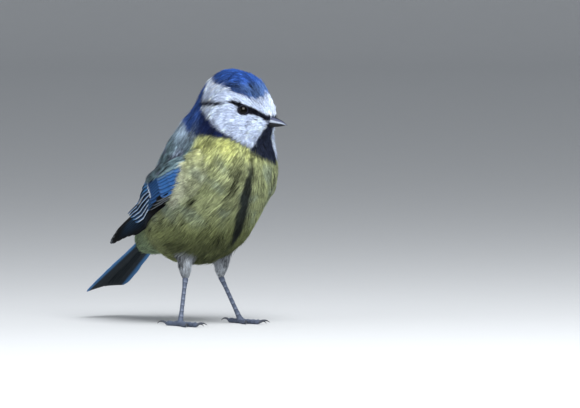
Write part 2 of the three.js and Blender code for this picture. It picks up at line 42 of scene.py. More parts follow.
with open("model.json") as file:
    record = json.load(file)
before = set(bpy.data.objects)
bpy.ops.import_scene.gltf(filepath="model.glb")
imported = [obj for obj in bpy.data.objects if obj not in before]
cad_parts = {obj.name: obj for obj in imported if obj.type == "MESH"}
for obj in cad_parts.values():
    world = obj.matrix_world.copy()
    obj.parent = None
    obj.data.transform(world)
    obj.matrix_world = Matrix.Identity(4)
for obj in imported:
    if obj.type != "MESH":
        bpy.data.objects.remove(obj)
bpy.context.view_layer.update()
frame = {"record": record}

MM = 0.001
SOLE_IN_PLAN = np.array([-2.0, -14.1, 0.0])  # the right sole's mount
SHIFT = np.array(frame["record"]["mounts"][0]["pos_m"]) / MM - SOLE_IN_PLAN
SIDES = (("right", -1), ("left", 1))
UP = np.array([0.0, 0.0, 1.0])
ACROSS = np.array([0.0, 1.0, 0.0])


# Small tools.
def in_metres(points):
    """Places of the plan, moved into the CAD frame in metres."""
    return (np.asarray(points) + SHIFT) * MM


def unit(v):
    """Vectors brought to length one."""
    return v / np.maximum(np.linalg.norm(v, axis=-1, keepdims=True), 1e-9)


def smooth(low, high, x):
    """A soft step from 0 at low to 1 at high. It falls where low is above high."""
    t = np.clip((x - low) / (high - low), 0, 1)
    return t * t * (3 - 2 * t)


def mix(a, b, t):
    """From a at t = 0 to b at t = 1."""
    return a + (b - a) * t


def degrees(y, x):
    return np.degrees(np.arctan2(y, x))


def axes_of(yaw, pitch, roll=0):
    """Columns are the ways ahead, left and up of something turned to the left, nose up and rolled."""
    y, p, r = np.radians([yaw, pitch, roll])
    ahead = np.array([math.cos(p) * math.cos(y), math.cos(p) * math.sin(y), math.sin(p)])
    left = np.array([-math.sin(y), math.cos(y), 0.0])
    up = np.cross(ahead, left)
    return np.column_stack(
        [ahead, left * math.cos(r) + up * math.sin(r), up * math.cos(r) - left * math.sin(r)]
    )


def turned(v, axis, angle):
    """v turned about a unit axis by an angle in radians."""
    c, s = np.cos(angle), np.sin(angle)
    along = (v * axis).sum(-1, keepdims=True) * axis
    return along + (v - along) * c + np.cross(axis, v) * s


def linear(code):
    """A colour from its six-digit code, in linear light."""
    parts = [int(code[i : i + 2], 16) / 255 for i in (0, 2, 4)]
    return tuple(c / 12.92 if c <= 0.04045 else ((c + 0.055) / 1.055) ** 2.4 for c in parts)


_made = {}


def once(key, build):
    """What build gives, made the first time that it is asked for."""
    if key not in _made:
        _made[key] = build()
    return _made[key]


# The feathered body: rounded lumps that melt into one another, as the solids have them.
HEAD_AT = np.array([12.3, 0.0, 78.8])
HEAD_TURN, HEAD_RISE = 25, -12  # degrees to the bird's left, and nose up
HEAD_AXES = axes_of(HEAD_TURN, HEAD_RISE)
TAIL_SLOPE = 33.5
BODY_LUMPS = (  # centre, radii along, across and deep, nose up, blend
    ((-2, 0, 45.8), (26, 20.7, 16.4), 49, 5),
    ((-9.5, 0, 36.4), (15.5, 16.2, 12), 20, 8),
    ((9.4, 0, 56), (14.5, 17.6, 12.4), 62, 7),
    ((-4, 0, 59.6), (16, 17.2, 13), 50, 6),
    ((-14, 0, 50), (16, 14.5, 9), 50, 6),
    ((-21, 0, 41), (14, 10.5, 8.6), TAIL_SLOPE, 8),
    ((-25, 0, 35), (17, 9, 6), TAIL_SLOPE - 4, 8),
    ((3.4, 0, 71), (12, 12.8, 10.5), 58, 7),
    ((11, 1, 66.5), (10, 13.6, 10.8), 70, 7),
)
HEAD_LUMPS = (  # centre ahead, left and up of the head's own, radii, blend
    ((0.1, 0, 0.2), (13.1, 10.9, 11.2), 5),
    ((0, 0, 5.9), (8.8, 7.8, 6.5), 4),
    ((8.9, 0, -1.6), (5.9, 5.6, 5.4), 5),
    ((2.4, -4.9, -5.4), (9.3, 6.4, 7.8), 5),
    ((2.4, 4.9, -5.4), (9.3, 6.4, 7.8), 5),
)
SPINE = np.array([[-15, 0, 37.5], [-3, 0, 44], [6.5, 0, 60], [12.3, 0, 78.8]])
KNEE = np.array([-5.4, 9.4, 29.0])
ANKLE = np.array([-6.2, 8.2, 17.0])
FOOT = np.array([-2.0, 14.1, 1.05])
THIGH = {"at": (-5.8, 8.8, 23.8), "radii": (7.5, 2.45, 2.45), "blend": 2.5}
EYE = {"ahead": 7.57, "up": 0.9, "proud": 0.4, "lid": 1.72, "lid_thick": 0.26}
BILL = {"base": (10.4, 0, -2.7), "rise": 5, "length": 10.9, "upper": 2.75, "lower": 1.75,
        "half_width": 2.15, "lower_share": 0.96}


def in_head(ahead, left, up):
    """A place given in the head's own directions."""
    return HEAD_AT + HEAD_AXES @ np.array([ahead, left, up])


def for_side(point, side):
    """A point of the left side, mirrored for the right where side is -1."""
    return np.array([point[0], side * point[1], point[2]])


def all_lumps():
    """Every lump as its centre, axes, radii and blend; the thighs come last."""
    lumps = [(np.array(at, float), axes_of(0, pitch), np.array(radii, float), blend)
             for at, radii, pitch, blend in BODY_LUMPS]
    lumps += [(in_head(*at), HEAD_AXES, np.array(radii, float), blend)
              for at, radii, blend in HEAD_LUMPS]
    for _, side in SIDES:
        along = unit(for_side(KNEE, side) - for_side(ANKLE, side))
        level = unit(np.cross(UP, along))
        axes = np.column_stack([along, level, np.cross(along, level)])
        at = for_side(np.array(THIGH["at"]), side)
        lumps.append((at, axes, np.array(THIGH["radii"]), THIGH["blend"]))
    return lumps


LUMPS = all_lumps()
THIGH_COUNT = 2


def lump_distance(lump, p):
    """About how far each point lies outside one lump, negative inside."""
    centre, axes, radii, _ = lump
    q = (p - centre) @ axes
    near = np.linalg.norm(q / radii, axis=-1)
    slope = np.linalg.norm(q / radii**2, axis=-1)
    return near * (near - 1) / np.maximum(slope, 1e-9)


def distance(p, lumps=LUMPS):
    """About how far each point lies outside the feathered body, negative inside."""
    d = np.full(len(p), 1000.0)
    for lump in lumps:
        other, width = lump_distance(lump, p), lump[3]
        h = np.maximum(width - np.abs(d - other), 0) / width
        d = np.minimum(d, other) - h * h * width / 4
    return d


def outward(p):
    """The way straight out of the body at each point."""
    e = 0.05
    return unit(np.stack([distance(p + e * axis) - distance(p - e * axis) for axis in np.eye(3)], -1))


def settled(p, level, rounds=2):
    """The points moved straight in or out until they lie level outside the body, and the ways out there."""
    for _ in range(rounds):
        out = outward(p)
        p = p + out * (level - distance(p))[:, None]
    return p, out


def along_spine(count):
    """Points of the spine, evenly from vent to crown, with the ways along it."""
    ends = np.vstack([2 * SPINE[0] - SPINE[1], SPINE, 2 * SPINE[-1] - SPINE[-2]])
    u = np.linspace(0, len(SPINE) - 1 - 1e-9, count)
    k, t = u.astype(int), (u % 1)[:, None]
    a, b, c, d = (ends[k + i] for i in range(4))
    at = 0.5 * (2 * b + (c - a) * t + (2 * a - 5 * b + 4 * c - d) * t**2
                + (3 * b - a - 3 * c + d) * t**3)
    way = 0.5 * (c - a + 2 * (2 * a - 5 * b + 4 * c - d) * t + 3 * (3 * b - a - 3 * c + d) * t**2)
    return at, unit(way)


SPINE_STEPS = 90
SPINE_AT, SPINE_WAY = along_spine(SPINE_STEPS)


def spine_place(p):
    """For each point: the nearest place along the spine from 0 to 1, the way along it there, and the
    angle round it, from 0 at the back to 180 at the belly, positive to the bird's left."""
    gap = ((p[:, None, :] - SPINE_AT[None]) ** 2).sum(-1)
    k = gap.argmin(1)
    way, spread = SPINE_WAY[k], p - SPINE_AT[k]
    back = unit(np.cross(way, ACROSS))
    return k / (SPINE_STEPS - 1), way, degrees(spread[:, 1], (spread * back).sum(-1))


RAY_STEP = 0.5
RAY_STEPS = 150
RAY_HALVINGS = 10


def reach_surface(origins, ways):
    """Where rays from inside the body first leave it."""
    far = np.zeros(len(origins))
    for _ in range(RAY_STEPS):
        inside = distance(origins + ways * far[:, None]) < 0
        if not inside.any():
            break
        far[inside] += RAY_STEP
    near = np.maximum(far - RAY_STEP, 0)
    for _ in range(RAY_HALVINGS):
        half = (near + far) / 2
        inside = distance(origins + ways * half[:, None]) < 0
        near, far = np.where(inside, half, near), np.where(inside, far, half)
    return origins + ways * far[:, None]


# Meshes.
def loft(rings):
    """A closed skin over rings of points, an array (rings, points, 3), with a fan at each end."""
    count, n, _ = rings.shape
    points = np.vstack([rings.reshape(-1, 3), rings[0].mean(0), rings[-1].mean(0)])
    ring, at = np.meshgrid(np.arange(count - 1), np.arange(n), indexing="ij")
    a, b = ring * n + at, ring * n + (at + 1) % n
    sides = np.concatenate([np.stack([a, b, b + n], -1), np.stack([a, b + n, a + n], -1)]).reshape(-1, 3)
    i = np.arange(n)
    base, j = (count - 1) * n, (i + 1) % n
    start = np.stack([np.full(n, count * n), j, i], -1)
    end = np.stack([np.full(n, count * n + 1), base + i, base + j], -1)
    return points, facing_out(points, np.vstack([sides, start, end]))


def facing_out(points, faces):
    """The faces, turned round where they face into the closed form."""
    a, b, c = (points[faces[:, k]] for k in range(3))
    return faces if (a * np.cross(b, c)).sum() > 0 else faces[:, ::-1]


def tube(path, radii, sides, flat=1.0):
    """A rod along a path. radii is one for each point, or an array (points, sides). flat is its
    width for its height."""
    path = np.asarray(path, float)
    way = unit(np.gradient(path, axis=0))
    level = np.where(np.abs(way[:, 2:3]) > 0.9, np.array([1.0, 0, 0]), UP)
    sideways = unit(np.cross(level, way))
    out = np.cross(way, sideways)
    angle = np.linspace(0, 2 * math.pi, sides, endpoint=False)
    radii = np.broadcast_to(np.asarray(radii, float).reshape(len(path), -1), (len(path), sides))
    ring = (out[:, None] * np.cos(angle)[None, :, None]
            + flat * sideways[:, None] * np.sin(angle)[None, :, None])
    return loft(path[:, None] + ring * radii[:, :, None])


class Parts:
    """Closed forms gathered for one mesh, with values for each of their points."""

    def __init__(self):
        self.points, self.faces, self.values, self.count = [], [], {}, 0

    def add(self, form, **values):
        points, faces = form
        self.points.append(points)
        self.faces.append(faces + self.count)
        self.count += len(points)
        for name, value in values.items():
            value = np.asarray(value, float)
            shape = (len(points),) + ((3,) if value.shape[-1:] == (3,) else ())
            self.values.setdefault(name, []).append(np.broadcast_to(value, shape))

    def mesh(self, name, material, slot, replaces=(), uv=None):
        """All the forms as one piece of the model."""
        values = {key: np.concatenate(value) for key, value in self.values.items()}
        return make_piece(name, np.vstack(self.points), np.vstack(self.faces), material,
                          replaces, values, uv)


def new_object(name, data):
    made = bpy.data.objects.new(name, data)
    bpy.context.scene.collection.objects.link(made)
    return made


def make_piece(name, points, faces, material, replaces=(), values=None, uv=None):
    """One mesh object from triangles. Values of three numbers a point become colours."""
    mesh = bpy.data.meshes.new(name)
    mesh.vertices.add(len(points))
    mesh.vertices.foreach_set("co", in_metres(points).astype(np.float32).ravel())
    mesh.loops.add(3 * len(faces))
    mesh.loops.foreach_set("vertex_index", faces.astype(np.int32).ravel())
    mesh.polygons.add(len(faces))
    mesh.polygons.foreach_set("loop_start", np.arange(0, 3 * len(faces), 3, dtype=np.int32))
    mesh.polygons.foreach_set("use_smooth", np.ones(len(faces), bool))
    mesh.update(calc_edges=True)
    for key, value in (values or {}).items():
        if value.ndim == 2:
            layer = mesh.color_attributes.new(key, "FLOAT_COLOR", "POINT")
            rgba = np.column_stack([value, np.ones(len(value))])
            layer.data.foreach_set("color", rgba.astype(np.float32).ravel())
        else:
            layer = mesh.attributes.new(key, "FLOAT", "POINT")
            layer.data.foreach_set("value", value.astype(np.float32))
    if uv is not None:
        layer = mesh.uv_layers.new(name="OFBake")
        layer.data.foreach_set("uv", uv[faces.ravel()].astype(np.float32).ravel())
    piece = new_object(name, mesh)
    mesh.materials.append(material)
    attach(piece, "root")
    if replaces:
        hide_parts(*replaces)
    return piece


# Sizes and colours that a user would change.
def tint(name, code, text):
    return bpy.props.FloatVectorProperty(
        name=name, description=text, default=linear(code), subtype="COLOR", size=3, min=0, max=1
    )


def length(name, value, text):
    return bpy.props.FloatProperty(
        name=name, description=text, default=value * MM, unit="LENGTH", min=0, precision=5
    )


def share(name, value, text):
    return bpy.props.FloatProperty(name=name, description=text, default=value, subtype="FACTOR", min=0, max=1)


def number(name, value, text):
    return bpy.props.FloatProperty(name=name, description=text, default=value, min=0)


class BlueTitColours(bpy.types.PropertyGroup):
    cap: tint("Cap", "3158a6", "Blue of the crown")
    cap_front: tint("Cap front", "4c6a9e", "Paler blue over the forehead")
    cap_rear: tint("Cap rear", "1f3462", "Darker blue towards the nape and the cap's edge")
    white: tint("Face white", "cfdcf6", "Cheeks, forehead and the band round the cap")
    stripe: tint("Eye stripe", "0c0f20", "Line through the eye")
    collar: tint("Collar", "18254f", "Band from the bib round the nape")
    nape: tint("Nape", "2f4a86", "Blue of the collar behind")
    nape_patch: tint("Nape patch", "9fb2c6", "Pale patch below the nape")
    bib: tint("Bib", "262d42", "Chin and throat")
    mantle: tint("Mantle", "667d85", "Grey green of the back")
    mauve: tint("Shoulder", "716f8a", "Grey mauve patches among the back feathers")
    rump: tint("Rump", "7f9c86", "Rump and upper tail coverts")
    breast: tint("Breast", "d3d88c", "Yellow of the upper breast")
    flank: tint("Flank", "a3ab80", "Sides and flanks")
    flank_pale: tint("Flank over the wing", "d8dcc2", "Pale silky feathers that lie over the wing's edge")
    breast_grey: tint("Feather bases", "93a08f", "Grey that shows between breast feathers")
    # Belly: partly the lower belly's own olive, partly painted shade that darkens the low body
    belly: tint("Belly", "7f8759", "Lower belly and vent")
    belly_stripe: tint("Belly stripe", "141a20", "Dark line down the belly")
    thigh: tint("Thigh", "9da2a8", "Pale feathers of the thigh")
    covert: tint("Coverts", "33609a", "Blue of the smaller wing coverts")
    covert_dark: tint("Greater coverts", "142c4c", "Dark blue of the greater coverts")
    wing_bar: tint("Wing bar", "d3deea", "Tips of the greater coverts and tertials")
    # Flight: the quills' own blackish colour, made darker still as painted shade, the shade under the folded
    # wing
    flight: tint("Flight feathers", "040507", "Slate of the wing quills")
    flight_edge: tint("Flight edges", "4a80b4", "Blue outer edges of wing and tail feathers")
    tail: tint("Tail", "315f98", "Upper side of the tail")
    tail_under: tint("Tail underside", "232b31", "Underside of the tail")
    bill: tint("Bill", "101217", "Ridge and lower half of the bill")
    bill_ridge: tint("Bill ridge", "333a55", "Slate blue of the upper half's flanks")
    bill_side: tint("Bill side", "9aa4b4", "Pale side of the upper half")
    leg: tint("Leg", "4b5467", "Tarsus and toes")
    leg_pale: tint("Leg edges", "8c96aa", "Edges of the leg scales")
    claw: tint("Claw", "4b505c", "Claws")
    eye: tint("Eye", "040302", "Dark brown of the eye")


class BlueTitSizes(bpy.types.PropertyGroup):
    coat_depth: length("Coat depth", 0.9, "How far the skin lies under the coat's tips on the body")
    face_depth: length("Face depth", 0.45, "How far the skin lies under the coat's tips on the face")
    body_barb: length("Body barb", 7.8, "Length of a body feather's barb")
    face_barb: length("Face barb", 2.7, "Length of a barb beside the bill")
    body_width: length("Body barb width", 0.26, "Width of a body feather's barb")
    face_width: length("Face barb width", 0.17, "Width of a face feather's barb")
    body_density: number("Body density", 1.11, "Tufts on a square millimetre of the body")
    face_density: number("Face density", 2.6, "Tufts on a square millimetre of the face")
    eye_radius: length("Eye radius", 2.4, "Radius of each eyeball")
    vane_thick: length("Vane thickness", 0.22, "Thickness of a flight feather")
    streak: share("Streak", 0.38, "How much one barb's colour differs from the next")


class BlueTitStage(bpy.types.PropertyGroup):
    floor: tint("Floor", "c9cccf", "Colour of floor and backdrop")
    key: number("Key light", 13.0, "Power of the large soft light, in watts")
    fill: number("Fill light", 3.0, "Power of the weaker light, in watts")
    sky: number("Sky", 0.42, "Strength of the even light all round")


def colours():
    group = bpy.context.scene.blue_tit_colours
    return {key: np.array(getattr(group, key)) for key in BlueTitColours.__annotations__}


def sizes():
    return bpy.context.scene.blue_tit_sizes


# Plumage pattern, drawn on the head's own angles and on the angle round the spine.
def curve(x, *pairs):
    """A line through pairs of (place, value)."""
    at, value = np.array(pairs, float).T
    return np.interp(x, at, value)


def wobble(p, scale, seed):
    """A smooth pattern from -1 to 1 that changes over about scale millimetres."""
    rng = np.random.default_rng(seed)
    total = np.zeros(len(p))
    for _ in range(5):
        way = unit(rng.normal(size=3))
        total += np.sin(p @ way * (rng.uniform(0.7, 1.5) * 2 * math.pi / scale) + rng.uniform(0, 6.28))
    return total / 2.6


def brush(rgb):
    """Gives a function that lays a colour over rgb, in place and as far as a mask says."""

    def lay(colour, mask):
        rgb[:] = mix(rgb, colour, np.clip(mask, 0, 1)[:, None])

    return lay


def head_angles(p):
    """For each point: the angle round the head from the bill, and the angle up from the eyes' level."""
    ahead, left, up = ((p - HEAD_AT) @ HEAD_AXES).T
    return degrees(np.abs(left), ahead), degrees(up, np.hypot(ahead, left))


def from_bill(p):
    """How far each point is from the bill's base."""
    return np.linalg.norm(p - in_head(*BILL["base"]), axis=-1)


def on_thigh(p, near=1.0, full=0.0, high=30, low=24):
    """1 on the thighs, 0 off them, and soft where they run into the body."""
    return smooth(near, full, thigh_distance(p)) * smooth(high, low, p[:, 2])


def pattern(p):
    """The plumage's colour at each point of the body's surface. Each line on the head is drawn
    through pairs of degrees: round the head from the bill, and up from the eyes' level."""
    c = colours()
    rgb = body_pattern(p, c)
    lay = brush(rgb)
    round_head, rise = head_angles(p)
    collar_low = curve(round_head, (0, -44), (31, -42.5), (56, -39), (70, -37.5), (82, -39), (101, -39),
                       (122, -40), (143, -36), (160, -28), (180, -24))
    cheek_low = curve(round_head, (20, -42), (34, -41), (48, -39), (61, -36), (71, -34), (82, -32),
                      (99, -27), (108, -21), (125, -14), (137, -9), (146, -4), (150, 2), (180, 2))
    stripe_at = curve(round_head, (0, -2), (17, -2), (29, 3), (39, 5), (47, 6), (60, 12), (76, 15),
                      (89, 10), (103, 4), (122, 2), (136, -1), (180, -1))
    stripe_half = curve(round_head, (0, 4.5), (17, 3.8), (29, 4.2), (39, 6), (47, 6.5), (60, 4.5), (76, 3),
                        (89, 2.3), (103, 3.5), (122, 4.5), (136, 7), (180, 7))
    cap_low = curve(round_head, (0, 34), (14, 30), (32, 24), (56, 29), (74, 33), (93, 37), (125, 37),
                    (150, 40), (180, 41))
    band_low = curve(round_head, (0, -90), (112, -90), (116, 2), (120, 8), (127, 11), (139, 18), (147, 27),
                     (165, 31), (180, 33))
    on_head = rise - collar_low
    patch = smooth(110, 150, round_head) * smooth(-16, -3, on_head) * smooth(3, -1, on_head)
    lay(c["nape_patch"], 0.85 * patch)
    lay(mix(c["collar"], c["nape"], smooth(112, 150, round_head)[:, None]), smooth(-1.5, 1.5, on_head))
    lay(c["nape_patch"], 0.4 * smooth(118, 150, round_head) * smooth(-2, 1, on_head) * smooth(14, 3, on_head))
    lay(c["white"], smooth(-1.5, 1.5, rise - cheek_low) * smooth(148, 142, round_head))
    bib_half = curve(-rise, (5, 9), (7, 11), (17, 12), (22, 15), (30, 18), (36, 21), (41, 27), (46, 34))
    lay(c["bib"], smooth(1.5, -1.5, round_head - bib_half) * smooth(-5, -8, rise)
        * smooth(-2, 1, on_head + 2))
    above = rise - stripe_at
    lay(c["white"], smooth(0, 1.5, above) * smooth(-1.5, 1.5, rise - band_low))
    faint = 1 - 0.55 * smooth(11, 3, np.abs(round_head - 89))
    lay(c["stripe"], faint * smooth(1.2, -1.2, np.abs(above) - stripe_half) * smooth(4, 9, round_head))
    lay(c["bib"], 0.8 * smooth(4.0, 2.9, from_bill(p)) * smooth(22, 6, rise))
    lay(c["nape"], smooth(134, 142, round_head) * smooth(1.5, -1.5, rise - band_low)
        * smooth(-1.5, 1.5, on_head))
    cap = mix(c["cap_front"], c["cap"], smooth(46, 66, rise + round_head * 0.12)[:, None])
    edge = rise - cap_low
    cap = mix(cap, c["cap_rear"], (0.85 * smooth(24, 2, edge) * smooth(28, 60, round_head))[:, None])
    soft = curve(round_head, (0, 6), (30, 5), (48, 1.8), (180, 1.8))
    lay(cap, smooth(-1, 1, edge / soft + 0.5 * wobble(p, 1.6, 27) * (soft > 2)))
    return rgb


def front_pattern(p, c, side_angle):
    """Breast, flanks and belly, with painted shade low on the belly. side_angle is the angle round the spine
    from the back.
    """
    x, y, z = p.T
    front = c["flank"][None] + np.zeros((len(p), 3))
    lay = brush(front)
    lay(c["breast"], smooth(55, 66, z) * (0.75 + 0.25 * wobble(p, 9, 3)))
    lay(c["breast_grey"], 0.65 * smooth(0.0, 0.9, wobble(p, 9, 5)) * smooth(66, 54, z))
    # Painted shade: the front darkens downward, to the belly tint below the flank, then to 0.4 of it over the
    # lower front of the belly
    lay(c["belly"], smooth(43, 32, z))
    lay(c["belly"] * 0.4, 0.85 * smooth(38, 27, z) * smooth(-16, -4, x))
    lay(c["rump"], 0.45 * smooth(-20, -30, x))
    middle = curve(z, (30, 3.6), (33, 3.0), (36.5, 2.0), (40.2, 0.6), (45.8, -1.6), (53, -2.2), (64, -1.7))
    half = curve(z, (28, 1.2), (36, 2.5), (47, 2.3), (55, 1.4), (64, 0.3))
    lay(c["belly_stripe"], (0.95 * smooth(67, 52, z) * smooth(25, 31, z) * smooth(95, 120, side_angle)
                            * smooth(0.9, -0.9, np.abs(y - middle) - half + 0.35 * wobble(p, 3, 17))))
    return front


def back_pattern(p, c, rear):
    """Back and rump. rear is 1 over the rump."""
    back = mix(c["mantle"], c["rump"], rear[:, None]) * (1 + 0.12 * wobble(p, 6, 9))[:, None]
    return mix(back, c["mauve"], (0.5 * smooth(0.2, 0.9, wobble(p, 9, 13)))[:, None])


def body_pattern(p, c):
    """The colours below the head, divided along each side."""
    along, _, turn_round = spine_place(p)
    side_angle = np.abs(turn_round)
    rear = smooth(0.32, 0.1, along)
    front, back = front_pattern(p, c, side_angle), back_pattern(p, c, rear)
    border = 88 - 20 * rear + 7 * wobble(p, 7, 11)
    rgb = mix(back, front, smooth(-5, 5, side_angle - border)[:, None])
    return mix(rgb, c["thigh"], on_thigh(p, 2.0, 0.8, 28, 24)[:, None])


def thigh_distance(p):
    return np.minimum(*(lump_distance(lump, p) for lump in LUMPS[-THIGH_COUNT:]))


# Eyes and bill, set as the solids have them.
def eye_place(side):
    """The eye's centre, and the way it looks out."""
    origin = in_head(EYE["ahead"], 0, EYE["up"])[None]
    skin = reach_surface(origin, side * HEAD_AXES[:, 1][None])
    out = outward(skin)
    radius = sizes().eye_radius / MM
    return (skin + out * (EYE["proud"] - radius))[0], out[0]


FAR_OFF = 99.0


def eye_gap(p):
    """How far each point is from the nearer eye's axis, or 99 where it is behind both eyes."""
    best = np.full(len(p), FAR_OFF)
    for _, side in SIDES:
        centre, out = eye_place(side)
        spread = p - centre
        height = spread @ out
        ring = np.linalg.norm(spread - height[:, None] * out, axis=-1)
        best = np.minimum(best, np.where(height > 0, ring, FAR_OFF))
    return best


def bill_axes():
    return axes_of(HEAD_TURN, HEAD_RISE + BILL["rise"])


def bill_shape(along, upper):
    """How tall and how wide half the bill is at shares of its length."""
    tall = (BILL["upper"] if upper else BILL["lower"]) * (1 - along ** (1.8 if upper else 2.4)) ** 0.85
    wide = BILL["half_width"] * (1 - along**1.5) ** 0.85
    return tall, wide


def inside_bill(p, room):
    """True inside the bill, grown by room."""
    q = (p - in_head(*BILL["base"])) @ bill_axes()
    along = np.clip(q[:, 0] / BILL["length"], 0, 1)
    upper, wide = bill_shape(along, True)
    lower, _ = bill_shape(along, False)
    tall = np.where(q[:, 2] > 0, upper, lower)
    near = np.hypot(q[:, 1] / np.maximum(wide + room, 0.1), q[:, 2] / np.maximum(tall + room, 0.1))
    return (near < 1) & (q[:, 0] < BILL["length"]) & (q[:, 0] > -4)


THIGH_COAT = {"depth": 0.5, "density": 3.0, "barb": 3.0, "width": 0.2}
EYE_HOLLOW = 0.5  # how much deeper the skin lies round an eye


def coat_depth(p):
    """How far the skin lies under the coat's tips."""
    s = sizes()
    depth = mix(s.face_depth, s.coat_depth, smooth(6, 30, from_bill(p))) / MM
    depth = mix(depth, THIGH_COAT["depth"], on_thigh(p, 1.5))
    return depth + EYE_HOLLOW * smooth(3.2, 1.4, eye_gap(p))


SKIN_ROUND = 120
SKIN_ROWS = {"rear": 22, "middle": 60, "crown": 26}
SKIN_MESH = 0.62  # length of the skin's edges
POLE_GAP = 0.02  # angle that a ball's first ring keeps from its pole


def skin_points():
    """The body's surface in rings out from the spine, and a ball for each thigh."""
    rear, middle, crown = SKIN_ROWS.values()
    at, way = along_spine(middle)
    quarter = math.pi / 2
    rows = [(0, -quarter * (1 - i / rear)) for i in range(1, rear)]
    rows += [(i, 0) for i in range(middle)]
    rows += [(middle - 1, quarter * i / crown) for i in range(1, crown)]
    angle = np.linspace(0, 2 * math.pi, SKIN_ROUND, endpoint=False)[:, None]
    origins, ways = [], []
    for k, lean in rows:
        back = -unit(np.cross(way[k], ACROSS))
        ring = back * np.cos(angle) + ACROSS * np.sin(angle)
        ways.append(ring * math.cos(lean) + way[k] * math.sin(lean))
        origins.append(np.repeat(at[k][None], SKIN_ROUND, 0))
    found = reach_surface(np.vstack(origins), np.vstack(ways))
    forms = Parts()
    forms.add(loft(found.reshape(len(rows), SKIN_ROUND, 3)))
    for centre, axes, radii, _ in LUMPS[-THIGH_COUNT:]:
        t = np.linspace(POLE_GAP, math.pi - POLE_GAP, 30)
        path = centre + np.cos(t)[:, None] * radii[0] * axes[:, 0]
        forms.add(tube(path, radii[1] * np.sin(t), 24))
    return forms


def make_guide():
    """An even mesh of the whole body, used as the skin and to place the coat's roots."""
    forms = skin_points()
    mesh = bpy.data.meshes.new("body_form")
    mesh.from_pydata(np.vstack(forms.points).tolist(), [], np.vstack(forms.faces).tolist())
    form = new_object("body_form", mesh)
    remesh = form.modifiers.new("even", "REMESH")
    remesh.mode = "VOXEL"
    remesh.voxel_size = SKIN_MESH
    shown = form.evaluated_get(bpy.context.evaluated_depsgraph_get())
    even = bpy.data.meshes.new_from_object(shown)
    even.calc_loop_triangles()
    points = np.empty(3 * len(even.vertices), np.float32)
    even.vertices.foreach_get("co", points)
    faces = np.empty(3 * len(even.loop_triangles), np.int32)
    even.loop_triangles.foreach_get("vertices", faces)
    bpy.data.objects.remove(form)
    bpy.data.meshes.remove(mesh)
    bpy.data.meshes.remove(even)
    points, _ = settled(points.reshape(-1, 3).astype(float), 0.0, 3)
    faces = faces.reshape(-1, 3)
    return points, facing_out(points, faces)


def guide():
    return once("guide", make_guide)


# The coat.
COAT_SEED = 41
COVER_SEED = 43
BARBS_IN_TUFT = 6
BREAST_SPREAD = 0.55  # how far the breast feathers lie aside for each step down the body
ROOT_RISE = 0.12  # how far a barb's root stands over the skin
COVER_TUFTS = 4200  # tufts tried over each wing
UNDER_WING = 2.6  # body feathers are left out this close to a folded wing
EYE_ROOM = (1.62, 1.72)  # how near an eye's axis a barb's root half and tip half may come
BODY_FEATHER, BACK_COVER, FLANK_COVER = 0.0, 1.0, 2.0  # kinds of barbs
BARE_BELOW = 17.9  # height under which the legs have no feathers
ROWS_AT_ONCE = 20000


def barbs_of(tufts):
    """For every barb: its tuft, and its place across the tuft from -1 to 1."""
    tuft = np.repeat(np.arange(tufts), BARBS_IN_TUFT)
    return tuft, np.tile(np.linspace(-1, 1, BARBS_IN_TUFT), tufts)


def lie_of_coat(p, out):
    """The way the feathers lie at each point: back from the bill, then down the body to the tail."""
    _, way, _ = spine_place(p)
    x, y, z = p.T
    spread = p - in_head(*BILL["base"])
    aside = np.sign(y) * smooth(0, 7, np.abs(y)) * smooth(-4, 4, x) * smooth(30, 44, z)
    down_body = unit(-way + BREAST_SPREAD * aside[:, None] * ACROSS)
    lie = mix(unit(spread), down_body, smooth(11, 25, from_bill(p))[:, None])
    leg = on_thigh(p, 1.0, -0.5, 31, 27)[:, None]
    down = np.where(p[:, 1:2] > 0, ANKLE - KNEE, for_side(ANKLE, -1) - for_side(KNEE, -1))
    lie = mix(lie, unit(down), leg)
    return unit(lie - out * (lie * out).sum(-1, keepdims=True))


def under_wing(p):
    """True where a folded wing covers the body."""
    u, v = (g.ravel() for g in np.meshgrid(np.linspace(0.08, 0.7, 22), np.linspace(0.16, 0.84, 9)))
    covered = np.zeros(len(p), bool)
    for _, side in SIDES:
        place, _ = wing_sheet(u, v, np.zeros(len(u)), side)
        for start in range(0, len(p), ROWS_AT_ONCE):
            part = slice(start, start + ROWS_AT_ONCE)
            gap = ((p[part, None] - place[None]) ** 2).sum(-1).min(1)
            covered[part] |= gap < UNDER_WING**2
    return covered


def coat_roots(rng):
    """Seeded roots over the guide, closer together on the face and thighs."""
    points, faces = guide()
    a, b, c = (points[faces[:, k]] for k in range(3))
    area = np.linalg.norm(np.cross(b - a, c - a), axis=-1) / 2
    middle = (a + b + c) / 3
    s = sizes()
    density = mix(s.face_density, s.body_density, smooth(8, 30, from_bill(middle)))
    density = mix(density, THIGH_COAT["density"], on_thigh(middle))
    wanted = area * density
    count = int(wanted.sum())
    pick = rng.choice(len(faces), count, p=wanted / wanted.sum())
    w = rng.random((count, 2))
    w = np.where(w.sum(1, keepdims=True) > 1, 1 - w, w)
    roots = a[pick] + (b - a)[pick] * w[:, :1] + (c - a)[pick] * w[:, 1:]
    bare = (thigh_distance(roots) < 0.6) & (roots[:, 2] < BARE_BELOW)
    return roots[~(under_wing(roots) | inside_bill(roots, -0.3) | bare)]


